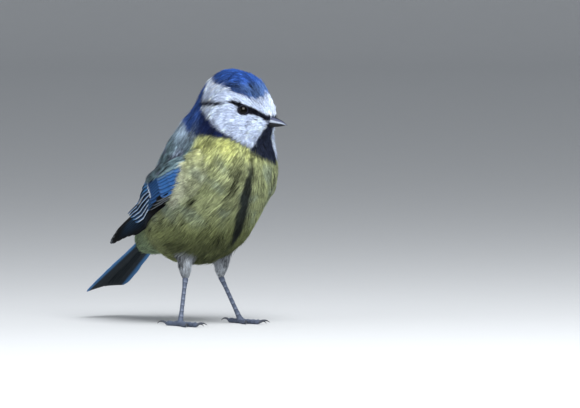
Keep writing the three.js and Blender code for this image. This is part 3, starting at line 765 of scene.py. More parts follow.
def coat_blades():
    """Every barb of the coat: its four points, the ways out there, its width, its tuft, its place
    across the tuft, and then each tuft's root."""
    rng = np.random.default_rng(COAT_SEED)
    s = sizes()
    roots = coat_roots(rng)
    tufts = len(roots)
    tuft, slot = barbs_of(tufts)
    n = len(tuft)
    p = roots[tuft]
    out = outward(p)
    reach = from_bill(p)
    face = smooth(27, 5, reach)
    leg = on_thigh(p)
    round_head, rise = head_angles(p)
    size = mix(s.body_barb, s.face_barb, face) / MM
    size = mix(size, THIGH_COAT["barb"], leg)
    vent = smooth(-20, -27, p[:, 0]) * smooth(40, 30, p[:, 2])
    rear_crown = smooth(75, 110, round_head) * smooth(30, 45, rise) * smooth(30, 18, reach)
    size *= (1 + 0.5 * rear_crown) * (0.82 + 0.36 * rng.random(tufts))[tuft] * (1 - 0.12 * slot**2)
    size *= rng.uniform(0.85, 1.1, n)
    width = mix(s.body_width, s.face_width, face) / MM * rng.uniform(0.75, 1.2, n)
    width = mix(width, THIGH_COAT["width"], leg)
    lean = 0.12 * slot + rng.normal(0, 0.05, n) + 0.1 * rng.normal(0, 1, tufts)[tuft]
    lean += 0.1 * wobble(p, 13, 21)
    way = lie_of_coat(p, out)
    sideways = np.cross(out, way)
    depth = coat_depth(p)
    p = p + sideways * (slot * width * 1.5)[:, None] + way * (rng.normal(0, 0.12, n) * size)[:, None]
    ruffle = 0.10 + 0.4 * rng.random(tufts)[tuft] ** 2 + 0.3 * rear_crown + 0.1 * leg + 0.5 * vent
    stray = (rng.random(n) < 0.04) * rng.uniform(0.2, 0.7, n)
    rise_to = ruffle - 0.05 + stray + 0.3 * np.maximum(wobble(p, 8, 23), 0) * (1 - face) + 0.7 * rear_crown
    rise_to = mix(rise_to, 0.35 * rise_to - 0.1, leg)
    p, out = settled(p, -depth + ROOT_RISE, 1)
    centre, out_at = [p], [out]
    for k in range(1, 4):
        way = lie_of_coat(p, out)
        way = way * np.cos(lean)[:, None] + np.cross(out, way) * np.sin(lean)[:, None]
        level = mix(-depth + ROOT_RISE, rise_to, (k / 3) ** 0.55)
        p, out = settled(p + way * (size / 3)[:, None], level, 1)
        centre.append(p)
        out_at.append(out)
    return np.stack(centre, 1), np.stack(out_at, 1), width, tuft, slot, roots


def cover_blades(rng, side):
    """Barbs of the shoulder and flank feathers that lie over the front and upper edge of a folded wing,
    laid out on the wing's own sheet. The last array says of what kind each barb is."""
    u, v = rng.uniform(-0.25, 0.36, COVER_TUFTS), rng.uniform(-0.35, 1.3, COVER_TUFTS)
    front = curve(v, (-0.35, 0.24), (-0.1, 0.2), (0.02, 0.17), (0.08, 0.14), (0.26, 0.07), (0.5, 0.03),
                  (0.84, -0.02), (1.3, -0.05))
    top = curve(u, (-0.05, 0.86), (0.07, 0.82), (0.17, 0.72), (0.33, 0.72), (0.4, 0.86))
    flank = (u < front - 0.085 + rng.normal(0, 0.018, COVER_TUFTS)) & (u > front - 0.085 - 0.2)
    back = (v > top + 0.06) & (u < 0.33)
    border = curve(u, (-0.2, 1.3), (-0.08, 0.98), (-0.04, 0.82), (0.02, 0.6))
    kind = np.where(v > border, BACK_COVER, FLANK_COVER)
    u, v, kind = (x[flank | back] for x in (u, v, kind))
    tufts = len(u)
    tuft, slot = barbs_of(tufts)
    n = len(tuft)
    size = (0.1 * rng.uniform(0.75, 1.15, tufts))[tuft] * rng.uniform(0.85, 1.1, n)
    fall = rng.normal(0.0, 0.05, tufts)[tuft] + 0.045 * slot + rng.normal(0, 0.012, n)
    fall += np.where(kind[tuft] == FLANK_COVER, -0.05, -0.03)
    ruffle = rng.uniform(0.05, 0.45, tufts)[tuft]
    centre, out = [], []
    for k in range(4):
        at_u = u[tuft] + size * k / 3 + 0.006 * rng.normal(size=n) * (k == 0)
        at_v = v[tuft] + slot * 0.02 + fall * k / 3
        over = smooth(-0.2, -0.02, at_u) * smooth(1.35, 0.95, at_v) * smooth(-0.33, -0.02, at_v)
        lift = mix(0.2, 1.6, over) + ruffle * (k / 3) ** 1.5 - 0.25 * (k == 0)
        p, o = wing_sheet(at_u, at_v, lift, side)
        centre.append(p)
        out.append(o)
    centre, out = np.stack(centre, 1), np.stack(out, 1)
    width = 0.85 * sizes().body_width / MM * rng.uniform(0.6, 1.15, n)
    return centre, out, width, tuft, slot, centre[::BARBS_IN_TUFT, 0], kind[tuft]


def pale_flank(p, c):
    """Flank feathers grow paler where they lie over the wing."""
    front = front_pattern(p, c, np.full(len(p), 90.0))
    return mix(front, c["flank_pale"], (0.25 + 0.6 * smooth(19.5, 22.5, np.abs(p[:, 1])))[:, None])


def with_covers(blades, rng):
    """The coat's barbs, joined by those over both wings."""
    kinds = [np.full(len(blades[0]), BODY_FEATHER)]
    for _, side in SIDES:
        more = cover_blades(rng, side)
        first = len(blades[5])
        more = (*more[:3], more[3] + first, *more[4:])
        blades = tuple(np.concatenate([a, b]) for a, b in zip(blades, more[:6]))
        kinds.append(more[6])
    return (*blades, np.concatenate(kinds))


def keep_blades(centre):
    """False for barbs that would cross an eye or the bill."""
    keep = np.ones(len(centre), bool)
    for k in range(4):
        keep &= eye_gap(centre[:, k]) > EYE_ROOM[k // 2]
        keep &= ~inside_bill(centre[:, k], 0.02) | (k < 1)
    return keep


def blade_mesh(centre, out, width):
    """Thin three-sided blades over rows of four centre points; the last is the tip."""
    n = len(centre)
    way = unit(np.gradient(centre, axis=1))
    side = unit(np.cross(out, way))
    wide = width[:, None, None] * np.array([0.55, 1.0, 0.72])[None, :, None] / 2
    deep = width[:, None, None] * np.array([0.3, 0.36, 0.28])[None, :, None]
    c, s, o = centre[:, :3], side[:, :3], out[:, :3]
    rings = np.stack([c - s * wide, c + s * wide, c + o * deep], 2)
    points = np.concatenate([rings.reshape(n, 9, 3), centre[:, 3:]], 1)
    base = []
    for r in (0, 3):
        for i, j in ((0, 1), (1, 2), (2, 0)):
            base += [(r + i, r + j, r + j + 3), (r + i, r + j + 3, r + i + 3)]
    base += [(6, 7, 9), (7, 8, 9), (8, 6, 9), (0, 2, 1)]
    base = facing_out(points[0] - points[0].mean(0), np.array(base))
    faces = base[None] + 10 * np.arange(n)[:, None, None]
    return points.reshape(-1, 3), faces.reshape(-1, 3)


BLADE_RING = [0, 0, 0, 1, 1, 1, 2, 2, 2, 3]  # which of its four centre points each point belongs to
BLADE_ALONG = np.array([0, 0.33, 0.67, 1])[BLADE_RING]
BLADE_ACROSS = np.array([0, 1, 0.5, 0, 1, 0.5, 0, 1, 0.5, 0.5])
DARK_ROOTS = np.array([0.5, 0.78, 1.0, 1.1])  # shade from root to tip of a barb
PALE_ROOTS = np.array([0.82, 0.94, 1.0, 1.02])  # the same for pale barbs, which show less of it
PIECE_LIMIT = 11500  # barbs in one piece of the coat
PATCH = 0.003  # width of a tuft's patch on the unwrap
UNWRAP = {"spine": 62, "behind": 26, "whole": 106, "round": 365}  # millimetres, and degrees round


def unwrap_of_skin(p):
    """Each root's place on an unwrap of the body: angle round the spine, and distance along it."""
    along, way, angle = spine_place(p)
    k = (along * (SPINE_STEPS - 1)).round().astype(int)
    past = ((p - SPINE_AT[k]) * way).sum(-1)
    v = (along * UNWRAP["spine"] + past + UNWRAP["behind"]) / UNWRAP["whole"]
    return np.column_stack([0.5 + angle / UNWRAP["round"], np.clip(v, 0.01, 0.99)])


STREAK_GAIN = 0.8


def streaks(place, rng):
    """Long soft streaks, from -1 to 1, that run down the body on the unwrap."""
    total = np.zeros(len(place))
    for rows, columns in ((22, 90), (40, 200)):
        grid = rng.normal(size=(rows + 2, columns + 2))
        x, y = place[:, 0] * columns, place[:, 1] * rows
        i, j = y.astype(int), x.astype(int)
        u, v = x - j, y - i
        low, high = mix(grid[i, j], grid[i, j + 1], u), mix(grid[i + 1, j], grid[i + 1, j + 1], u)
        total += STREAK_GAIN * mix(low, high, v)
    return total


def make_coat():
    rng = np.random.default_rng(COVER_SEED)
    centre, out, width, tuft, slot, roots, kind = with_covers(coat_blades(), rng)
    keep = keep_blades(centre)
    centre, out, width, tuft, slot, kind = (x[keep] for x in (centre, out, width, tuft, slot, kind))
    place = unwrap_of_skin(roots)
    order = np.argsort(-place[tuft, 1], kind="stable")
    centre, out, width, tuft, slot, kind = (x[order] for x in (centre, out, width, tuft, slot, kind))
    n = len(centre)
    own = rng.normal(0, 1, roots.shape[0])
    shade = 1 + sizes().streak * (0.5 * own[tuft] + 0.5 * rng.normal(0, 1, n) + streaks(place, rng)[tuft])
    jitter = rng.normal(0, 0.16, (n, 1, 3))
    seen = centre * 0.45 + centre[:, 2:3] * 0.55 + jitter
    look = pattern(seen.reshape(-1, 3)).reshape(n, 4, 3)
    c = colours()
    paints = {BACK_COVER: lambda q: back_pattern(q, c, np.zeros(len(q))),
              FLANK_COVER: lambda q: pale_flank(q, c)}
    for which, paint in paints.items():
        chosen = kind == which
        look[chosen] = paint(seen[chosen].reshape(-1, 3)).reshape(-1, 4, 3)
    pale = smooth(0.45, 0.8, look.mean((1, 2)))[:, None, None]
    shade = mix(shade[:, None, None], 1 + 0.5 * (shade[:, None, None] - 1), pale)
    root_dark = mix(DARK_ROOTS[None, :, None], PALE_ROOTS[None, :, None], pale)
    look = np.clip(look * shade * root_dark, 0, 1)
    look = look[:, BLADE_RING]
    pieces = math.ceil(n / PIECE_LIMIT)
    edges = np.linspace(0, n, pieces + 1).astype(int)
    for k in range(pieces):
        part = slice(edges[k], edges[k + 1])
        points, faces = blade_mesh(centre[part], out[part], width[part])
        barbs = len(points) // len(BLADE_RING)
        local = np.stack([(slot[part, None] * 0.4 + (BLADE_ACROSS - 0.5) * 0.16),
                          np.broadcast_to(BLADE_ALONG - 0.5, (barbs, len(BLADE_RING)))], -1)
        uv = place[tuft[part]][:, None] + local * PATCH
        values = {"plume": look[part].reshape(-1, 3), "strand": np.tile(BLADE_ALONG, barbs)}
        make_piece(f"coat_band_{k + 1}", points, faces, material("plumage"), (), values,
                   uv.reshape(-1, 2))


SKIN_SHADE = 0.55  # the skin is darker than the coat over it


def make_skin():
    points, faces = guide()
    out = outward(points)
    values = {"plume": pattern(points) * SKIN_SHADE, "strand": np.full(len(points), 0.3)}
    make_piece("skin", points - out * coat_depth(points)[:, None], faces, material("plumage"),
               ("head", "neck", "torso", "thigh_right", "thigh_left"), values)


# Flight feathers.
WING_NET = np.array([  # rows from shoulder to tip, each from the lower edge to the upper
    [[9, 15, 52], [9, 17, 57], [6, 15, 60]],
    [[-4, 20, 42], [-8, 21, 49], [-12, 17, 54]],
    [[-22, 18.5, 35], [-26, 15.5, 42], [-30, 1.5, 49]],
    [[-49, 7.2, 27], [-52, 8.2, 28.2], [-52.5, 8.2, 30.2]],
], float)
WING_CLEAR = 0.8  # how far the sheet stays outside the body
TUCKED_IN = 0.9  # how far the sheet's front and edges lie inside the body feathers
VANE_LEAN = math.radians(9)
# Each tier is a row of feathers: its name, how many, then the first and last feather's roots, tips
# (both along and across the sheet), half widths and lifts, and where along them the tips round off.
WING_TIERS = (
    ("primaries", 9, ((0.26, 0.0), (0.34, 0.4)),
     ((0.82, -0.12), (0.95, 0.45)), (1.5, 1.9), (0.1, 0.5), 0.5),
    ("secondaries", 5, ((0.3, 0.16), (0.28, 0.62)),
     ((0.66, 0.2), (0.76, 0.72)), (1.8, 2.2), (0.55, 1.0), 0.74),
    ("tertials", 3, ((0.26, 0.68), (0.22, 0.86)),
     ((0.7, 0.84), (0.56, 0.95)), (2.2, 2.4), (0.9, 1.2), 0.72),
    ("primary_coverts", 5, ((0.16, 0.08), (0.18, 0.3)),
     ((0.44, 0.1), (0.46, 0.34)), (1.3, 1.4), (0.55, 0.75), 0.6),
    ("greater_coverts", 9, ((0.14, 0.18), (0.14, 0.84)),
     ((0.38, 0.22), (0.42, 0.86)), (1.7, 1.9), (0.85, 1.1), 0.76),
    ("median_coverts", 8, ((0.07, 0.14), (0.06, 0.86)),
     ((0.25, 0.18), (0.26, 0.86)), (1.7, 1.8), (1.15, 1.3), 0.74),
    ("lesser_coverts", 8, ((0.02, 0.12), (0.02, 0.88)),
     ((0.15, 0.15), (0.16, 0.86)), (1.7, 1.8), (1.3, 1.45), 0.72),
    ("shoulder_coverts", 7, ((-0.02, 0.14), (-0.02, 0.86)),
     ((0.085, 0.16), (0.09, 0.84)), (1.7, 1.8), (1.4, 1.5), 0.7),
    ("alula", 3, ((0.1, 0.05), (0.12, 0.12)), ((0.4, 0.04), (0.3, 0.12)), (0.9, 1.1), (0.8, 1.2), 0.6),
)
LONGEST_PRIMARY = 0.55  # its share of the row
PRIMARY_REACH = 0.18  # how much of the sheet the longest primary reaches past the row's ends
ROOT_SINK = 0.7  # how far a feather's root lies under the row
WING_CUP, TAIL_CUP = 0.06, 0.02  # how much the vanes' edges bend down
WING_SEED, TAIL_SEED = 100, 300
FEATHER_STEPS = 26
TAIL_STEPS = 34
ACROSS_VANE = np.array([-1, -0.93, -0.82, -0.5, 0, 0.5, 0.82, 0.93, 1])


def sheet_point(u, v, side):
    """Points of the smooth sheet through the wing's net, at u along and v across."""
    net = WING_NET * np.array([1, side, 1])
    a, b = (1 - u), (1 - v)
    rows = [a**3, 3 * a * a * u, 3 * a * u * u, u**3]
    columns = [b * b, 2 * b * v, v * v]
    return sum(r[:, None] * c[:, None] * net[i, j]
               for i, r in enumerate(rows) for j, c in enumerate(columns))


def wing_sheet(u, v, lift, side):
    """Points of the folded wing's sheet, draped on the body, and the way out of it there. Its front
    and what lies past its edges are tucked in among the body feathers."""
    e = 0.001
    base = sheet_point(u, v, side)
    out = unit(np.cross(sheet_point(u + e, v, side) - base, sheet_point(u, v + e, side) - base)) * side
    place = base + out * lift[:, None]
    clear = lift + WING_CLEAR
    near = distance(place, LUMPS[:-THIGH_COUNT]) < clear
    if near.any():
        draped, body_out = settled(place[near], clear[near], 4)
        place[near] = draped
        out[near] = unit(out[near] + body_out)
    tuck = np.maximum(smooth(0.15, -0.05, u), np.maximum(smooth(-0.02, -0.3, v), smooth(0.68, 1.05, v)))
    tuck = tuck * smooth(0.5, 0.35, u)
    some = tuck > 0
    if some.any():
        share = tuck[some, None]
        low, body_out = settled(place[some], mix(clear, lift - TUCKED_IN, tuck)[some], 3)
        place[some] = mix(place[some], low, share)
        out[some] = unit(mix(out[some], body_out, share))
    return place, out


def feather(shaft, out, across, half, thick, cup, seed):
    """A closed vane over its shaft line, half wide to each side. Gives the form and, for each of its
    points, the places across and along the vane and whether it is on the underside."""
    steps = len(shaft)
    t = np.linspace(0, 1, steps)
    rng = np.random.default_rng(seed)
    x = ACROSS_VANE
    ragged = 1 + 0.035 * rng.normal(size=(steps, 2))
    widths = half[:, None] * ragged
    reach = np.where(x[None] < 0, widths[:, :1], widths[:, 1:]) * x[None]
    rachis = 0.1 * np.exp(-((x / 0.12) ** 2))[None] * (1 - t)[:, None]
    top = (shaft[:, None] + across[:, None] * reach[:, :, None]
           + out[:, None] * (rachis - cup * np.abs(reach) ** 1.5)[:, :, None])
    deep = thick * (1 - 0.55 * np.abs(x)[None] ** 2) * (1 - 0.5 * t[:, None] ** 4)
    under = top - out[:, None] * (deep + rachis * 1.6)[:, :, None]
    form = loft(np.concatenate([top, under[:, ::-1]], 1))
    both = np.concatenate([x, x[::-1]])
    below = np.tile(np.repeat([0.0, 1.0], len(x)), steps)
    return (form, np.append(np.tile(both, steps), [0, 0]), np.append(np.repeat(t, len(both)), [0, 1]),
            np.append(below, [0, 0]))


def vane_width(t, point):
    """A vane's outline: it widens from the root, and rounds off past point."""
    body = mix(0.62, 1, np.sin(np.clip(t / point, 0, 1) * math.pi / 2))
    tip = np.sqrt(np.clip(1 - ((t - point) / (1.01 - point)) ** 2.6, 0.02, 1))
    return np.where(t < point, body, tip)


def cell_uv(x, t, under, index, cells):
    """A feather's own cell on the bake map: upper side on the left, underside on the right."""
    row, column = divmod(index, cells)
    u = (column + 0.03 + 0.44 * (x + 1) / 2 + 0.5 * under) / cells
    return np.column_stack([u, (row + 0.04 + 0.92 * t) / cells])


def wing_look(name, place, web, t, under, c):
    """A wing feather's colours. place is its share of the row from the lower edge up; web is from -1
    at the outer edge to 1 at the inner; t is along it."""
    # The base is the flight tint, which holds painted shade as well as the quills' own black
    rgb = np.zeros((len(t), 3)) + c["flight"]
    lay = brush(rgb)
    place = np.full(len(t), place)
    outer = smooth(0.1, -0.35, web)
    if name == "primaries":
        lay(c["flight_edge"], 0.35 * smooth(-0.8, -0.98, web) * place * smooth(0.9, 0.6, t))
        lay(c["wing_bar"], 0.2 * smooth(0.98, 0.997, t))
    elif name == "secondaries":
        lay(c["covert_dark"], outer * 0.7)
        lay(c["flight_edge"], 0.6 * smooth(-0.5, -0.8, web))
        lay(c["wing_bar"], smooth(-0.78, -0.92, web) * (0.95 - 0.45 * place) * smooth(0.98, 0.8, t))
    elif name == "tertials":
        lay(c["covert_dark"], 0.9 * smooth(0.6, 0.1, web))
        lay(c["flight_edge"], 0.8 * smooth(-0.3, -0.7, web))
        lay(c["wing_bar"], smooth(0.86, 0.95, t) * smooth(0.7, 0.3, web))
    elif name == "primary_coverts":
        lay(c["covert_dark"], 0 * t + 0.7)
        lay(c["flight_edge"], 0.5 * smooth(-0.75, -0.95, web))
    elif name == "greater_coverts":
        lay(c["covert_dark"], 0 * t + 0.95)
        lay(c["covert"], 0.6 * smooth(-0.35, -0.85, web))
        lay(c["wing_bar"], 0.9 * smooth(0.88, 0.94, t) * smooth(0.1, 0.3, place))
    elif name == "alula":
        lay(c["wing_bar"], 0.25 * smooth(-0.7, -0.95, web))
    else:
        lay(c["covert"], 0 * t + 0.95)
        lay(c["covert_dark"], 0.6 * smooth(-0.35, 0.3, web) + 0.35 * smooth(0.7, 0.2, t))
        lay(c["cap_front"], 0.45 * smooth(0.8, 0.97, t) * smooth(0.4, -0.5, web))
        lay(c["mantle"], smooth(0.62, 0.86, place))
    lay(c["flight"], 0.55 * smooth(0.09, 0.03, np.abs(web)))
    lay(c["tail_under"], 0.8 * under)
    return rgb


def make_wing(name, side):
    c = colours()
    parts, uvs, index = Parts(), [], 0
    cells = math.ceil(math.sqrt(sum(row[1] for row in WING_TIERS)))
    t = np.linspace(0, 1, FEATHER_STEPS)
    for tier, count, roots, tips, halves, lifts, point in WING_TIERS:
        for i in range(count):
            place = i / (count - 1)
            root, tip = mix(*np.array(roots), place), mix(*np.array(tips), place)
            if tier == "primaries":
                tip[0] += PRIMARY_REACH * (math.cos((place - LONGEST_PRIMARY) * 2.4) ** 2 - 0.5)
            lift = mix(*lifts, place) - ROOT_SINK * (1 - np.minimum(t * 2.2, 1)) ** 2
            shaft, out = wing_sheet(mix(root[0], tip[0], t), mix(root[1], tip[1], t), lift, side)
            way = unit(np.gradient(shaft, axis=0))
            face = turned(out, way, -side * VANE_LEAN)
            across = unit(np.cross(face, way))
            half = mix(*halves, place) * vane_width(t, point)
            form, x, along, under = feather(shaft, face, across, half, sizes().vane_thick / MM,
                                            WING_CUP, WING_SEED + index)
            look = wing_look(tier, place, x * side, along, under, c)
            parts.add(form, plume=look, across=x, along=along * 12 + index)
            uvs.append(cell_uv(x, along, under, index, cells))
            index += 1
    parts.mesh(f"wing_feathers_{name}", material("vane"), "flight_feathers", (f"wing_{name}",),
               np.vstack(uvs))


# The tail's root, slope and roll in degrees, and its feathers' sizes. fan and root_fan are how far aside
# the outer pair's tips and roots lie, step is how far each pair lies under the last, curl bends it down.
TAIL = {"root": (-19.6, 0, 42.6), "slope": 35.3, "length": 53.6, "roll": 7.0, "pairs": 6,
        "half": (2.7, 3.0), "fan": 8.6, "root_fan": 1.6, "middle": 0.3, "step": 0.16, "curl": 0.25}
TAIL_CELLS = 4  # feathers in a row of the tail's bake map


def tail_look(pair, web, under, c):
    """A tail feather's colours. Pairs count from the middle; web is -1 at the outer edge."""
    # The base is the flight tint, which holds painted shade as well as the quills' own black
    rgb = np.zeros((len(web), 3)) + c["flight"]
    lay = brush(rgb)
    outermost = pair == TAIL["pairs"]
    lay(c["tail"], smooth(0.3, -0.2, web) if pair > 1 else 0 * web + 0.95)
    lay(c["flight_edge"], 0.8 * smooth(0.1, -0.6, web))
    if outermost:
        lay(c["wing_bar"], 0.35 * smooth(-0.9, -0.98, web))
    lay(c["flight"], 0.5 * smooth(0.08, 0.03, np.abs(web)))
    lay(c["tail_under"], 0.9 * under * (smooth(-0.55, -0.2, web) if outermost else 1))
    return rgb


def make_tail():
    c = colours()
    axes = axes_of(0, TAIL["slope"], TAIL["roll"])
    parts, uvs, index = Parts(), [], 0
    t = np.linspace(0, 1, TAIL_STEPS)
    for pair in range(1, TAIL["pairs"] + 1):
        for _, side in SIDES:
            place = (pair - 0.5) / TAIL["pairs"]
            long = TAIL["length"] + TAIL["middle"] * (1 - place)
            aside = side * mix(TAIL["root_fan"], TAIL["fan"], t) * place
            edge = np.abs(aside) / TAIL["fan"]
            low = -TAIL["step"] * (pair - 1) - TAIL["curl"] * edge**6
            shaft = np.column_stack([-long * t, aside, low]) @ axes.T + np.array(TAIL["root"])
            tilt = side * 6 * TAIL["curl"] / TAIL["fan"] * edge**5
            flat = np.zeros(len(t))
            out = np.column_stack([flat, np.sin(tilt), np.cos(tilt)]) @ axes.T
            across = np.column_stack([flat, np.cos(tilt), -np.sin(tilt)]) @ axes.T
            half = mix(*TAIL["half"], place) * vane_width(t, 0.9 + 0.05 * (pair < 3))
            form, x, along, under = feather(shaft, out, across, half, sizes().vane_thick / MM,
                                            TAIL_CUP, TAIL_SEED + index)
            look = tail_look(pair, -x * side, under, c)
            parts.add(form, plume=look, across=x, along=along * 30 + index)
            uvs.append(cell_uv(x, along, under, index, TAIL_CELLS))
            index += 1
    parts.mesh("tail_feathers", material("vane"), "flight_feathers", ("tail",), np.vstack(uvs))


# Bill, eyes and feet.
BILL_STEPS, BILL_SIDES = 40, 21
BILL_BACK = -0.18  # where the bill starts inside the face, as a share of its length
BILL_GAP = 0.07  # half the gap between the two halves of the bill
HOOK = -0.25  # how far the upper half's tip bends down
LID_STEPS, LID_SIDES, LID_CREASES = 48, 12, 17
LID_SQUASH = 0.94  # a lid's height for its width
KNOB = {"up": 0.15, "radius": 1.3}  # the ball where the toes meet


def make_bill():
    c = colours()
    axes, base = bill_axes(), in_head(*BILL["base"])
    for name, up in (("bill_upper", 1), ("bill_lower", -1)):
        long = BILL["length"] * (1 if up > 0 else BILL["lower_share"])
        t = np.linspace(BILL_BACK, 1, BILL_STEPS)
        t = np.where(t < 0, t, 1 - (1 - t) ** 1.5)
        tall, wide = bill_shape(np.clip(t, 0, 1), up > 0)
        tall, wide = np.maximum(tall, 0.1), np.maximum(wide * (1 if up > 0 else 0.93), 0.09)
        angle = np.linspace(0, math.pi, BILL_SIDES)
        hook = (HOOK if up > 0 else 0.0) * smooth(0.8, 1, t)
        ridge = np.sin(angle) ** 0.9
        y = wide[:, None] * np.cos(angle)[None]
        z = BILL_GAP + tall[:, None] * ridge[None] + hook[:, None]
        x = np.broadcast_to(long * t[:, None], z.shape)
        rings = np.stack([x, y, up * z], -1) @ axes.T + base
        form = loft(rings)
        rise = np.append(np.tile(np.sin(angle), len(t)), [0.5, 0.5])
        at = np.append(np.repeat(t, len(angle)), [0, 1])
        look = np.zeros((len(at), 3)) + c["bill"]
        if up > 0:
            look = mix(look, c["bill_ridge"], smooth(1.0, 0.85, rise)[:, None])
            pale = smooth(0.5, 0.34, rise) * smooth(1.05, 0.85, at) * smooth(-0.05, 0.2, at)
            look = mix(look, c["bill_side"], pale[:, None])
        parts = Parts()
        parts.add(form, horn=look)
        parts.mesh(name + "_horn", material("horn"), "bill", (name,))
    make_bristles(axes, base)


BRISTLE_SEED = 51
BRISTLES_A_SIDE = 34
BRISTLE_RADIUS = 0.05


def make_bristles(axes, base):
    """Fine dark bristles over the nostrils and at the corners of the mouth."""
    rng = np.random.default_rng(BRISTLE_SEED)
    parts = Parts()
    for _, side in SIDES:
        for _ in range(BRISTLES_A_SIDE):
            up = rng.uniform(-0.4, 1.9)
            start = np.array([rng.uniform(0.4, 2.2), side * (2.0 - 0.35 * max(up, 0)), up])
            way = unit(np.array([1, side * rng.uniform(-0.05, 0.12), rng.uniform(-0.22, 0.05) - 0.1 * up]))
            size = rng.uniform(1.6, 3.0)
            t = np.linspace(0, 1, 5)[:, None]
            path = start + way * size * t + np.array([0, 0, -0.35]) * t**2
            parts.add(tube(path @ axes.T + base, BRISTLE_RADIUS * (1 - 0.9 * t[:, 0]), 5))
    parts.mesh("bristles", material("bristle"), "plumage")


def ball(centre, radius, pole, rings=28, sides=40):
    """A ball in rings about its pole."""
    t = np.linspace(POLE_GAP, math.pi - POLE_GAP, rings)
    path = centre + np.cos(t)[:, None] * radius * pole
    level = unit(np.cross(UP if abs(pole[2]) < 0.9 else ACROSS, pole))
    other = np.cross(pole, level)
    angle = np.linspace(0, 2 * math.pi, sides, endpoint=False)
    ring = level * np.cos(angle)[:, None] + other * np.sin(angle)[:, None]
    return loft(path[:, None] + ring[None] * (radius * np.sin(t))[:, None, None])


def make_eyes():
    radius = sizes().eye_radius / MM
    for name, side in SIDES:
        centre, out = eye_place(side)
        eye = Parts()
        eye.add(ball(centre, radius, out))
        eye.mesh(f"eyeball_{name}", material("eye"), "eye", (f"eye_{name}",))
        depth = math.sqrt(radius**2 - (EYE["lid"] - 0.1) ** 2)
        angle = np.linspace(0, 2 * math.pi, LID_STEPS, endpoint=False)
        level = unit(np.cross(UP, out))
        high = np.cross(out, level)
        ring = level * np.cos(angle)[:, None] + LID_SQUASH * high * np.sin(angle)[:, None]
        section = np.linspace(0, 2 * math.pi, LID_SIDES, endpoint=False)
        middle = centre + out * (depth - 0.02)
        wide = EYE["lid"] + EYE["lid_thick"] * np.cos(section)
        tall = EYE["lid_thick"] * 0.8 * np.sin(section)
        crease = 1 + 0.06 * np.sin(angle * LID_CREASES)[:, None]
        points = middle + ring[:, None] * wide[None, :, None] + out * (tall[None] * crease)[:, :, None]
        lid = Parts()
        lid.add(closed_ring(points))
        lid.mesh(f"eyelid_{name}", material("lid"), "eye")


def closed_ring(points):
    """A closed skin over sections that go once round, an array (sections, points, 3)."""
    count, n, _ = points.shape
    ring, at = np.meshgrid(np.arange(count), np.arange(n), indexing="ij")
    a, b = ring * n + at, ring * n + (at + 1) % n
    c, d = ((ring + 1) % count) * n + (at + 1) % n, ((ring + 1) % count) * n + at
    faces = np.concatenate([np.stack([a, b, c], -1), np.stack([a, c, d], -1)]).reshape(-1, 3)
    flat = points.reshape(-1, 3)
    return flat, facing_out(flat - flat.mean(0), faces)


TOES = (  # name, angle, length, radius, joints, claw
    ("hind", 176, 7.4, 0.98, 1, 5.2),
    ("inner", -26, 7.2, 0.86, 2, 3.9),
    ("middle", 2, 10.2, 0.9, 3, 4.3),
    ("outer", 25, 8.2, 0.84, 3, 3.9),
)
TOE_AXIS = 0.78  # height of the toes' middle line
SHANK_STEPS, SHANK_SIDES, SHANK_PLATES = 110, 24, 8
TOE_SIDES = 20
CLAW_STEPS, CLAW_SIDES = 22, 14
CLAW_TURN = math.radians(74)
CLAW_LEAN = math.radians(34)  # how steeply a claw leaves its toe


def toe_line(toe, side, steps):
    """A toe's middle line from the foot, the way it points, and shares along it."""
    _, angle, long, _, _, _ = toe
    yaw = math.radians(angle) * side
    ahead = np.array([math.cos(yaw), math.sin(yaw), 0])
    start = for_side(FOOT, side)
    t = np.linspace(0, 1, steps)
    path = start + ahead * long * t[:, None]
    path[:, 2] = mix(start[2], TOE_AXIS, np.minimum(t * 3, 1))
    return path, ahead, t


def scute(t, count):
    """A row of overlapping plates along t, from 0 to 1 over each."""
    place = (t * count) % 1
    return place**0.6 * smooth(1.0, 0.9, place)


def plated_look(plates, facing, seam_share, seam_dark, c):
    """Colours of a scaled tube: pale plate edges and dark seams, most where facing is 1."""
    edge = np.append((plates[:, None] * facing[None]).ravel(), [0, 0])
    shown = 1 - seam_share + seam_share * facing[None]
    seam = np.append((smooth(0.3, 0.05, plates)[:, None] * shown).ravel(), [0, 0])
    look = mix(np.zeros((len(edge), 3)) + c["leg"], c["leg_pale"], (0.45 * smooth(0.6, 1, edge))[:, None])
    return look * (1 - seam_dark * seam[:, None])


def make_shank(name, side, c):
    top, bottom = for_side(ANKLE, side), for_side(FOOT, side)
    t = np.linspace(-0.05, 1, SHANK_STEPS)
    path = top + (bottom - top) * t[:, None]
    angle = np.linspace(0, 2 * math.pi, SHANK_SIDES, endpoint=False)
    way = unit(bottom - top)
    sideways = unit(np.cross(np.array([1.0, 0, 0]), way))
    out = np.cross(way, sideways)
    facing = np.cos(angle)[:, None] * out + np.sin(angle)[:, None] * sideways
    front = smooth(-0.2, 0.5, facing @ np.array([1.0, 0, 0]))
    base = curve(t, (-0.05, 0.8), (0.03, 1.12), (0.1, 1.0), (0.22, 0.8), (0.7, 0.8), (0.9, 0.98),
                 (1, 1.2))
    plates = scute(t, SHANK_PLATES)
    radii = base[:, None] + 0.13 * plates[:, None] * front[None] - 0.08
    parts = Parts()
    parts.add(tube(path, radii, SHANK_SIDES), scale=plated_look(plates, front, 0.6, 0.55, c))
    parts.mesh(f"shank_{name}", material("scales"), "leg", (f"tarsus_{name}",))


def make_legs():
    c = colours()
    for name, side in SIDES:
        make_shank(name, side, c)
        foot = Parts()
        for toe in TOES:
            toe_form(foot, toe, side, c)
        knob = ball(for_side(FOOT, side) + UP * KNOB["up"], KNOB["radius"], UP, 16, 20)
        knob[0][:, 2] = np.maximum(knob[0][:, 2], 0.0)
        foot.add(knob, scale=c["leg"])
        foot.mesh(f"toes_{name}", material("scales"), "leg", (f"foot_{name}",))


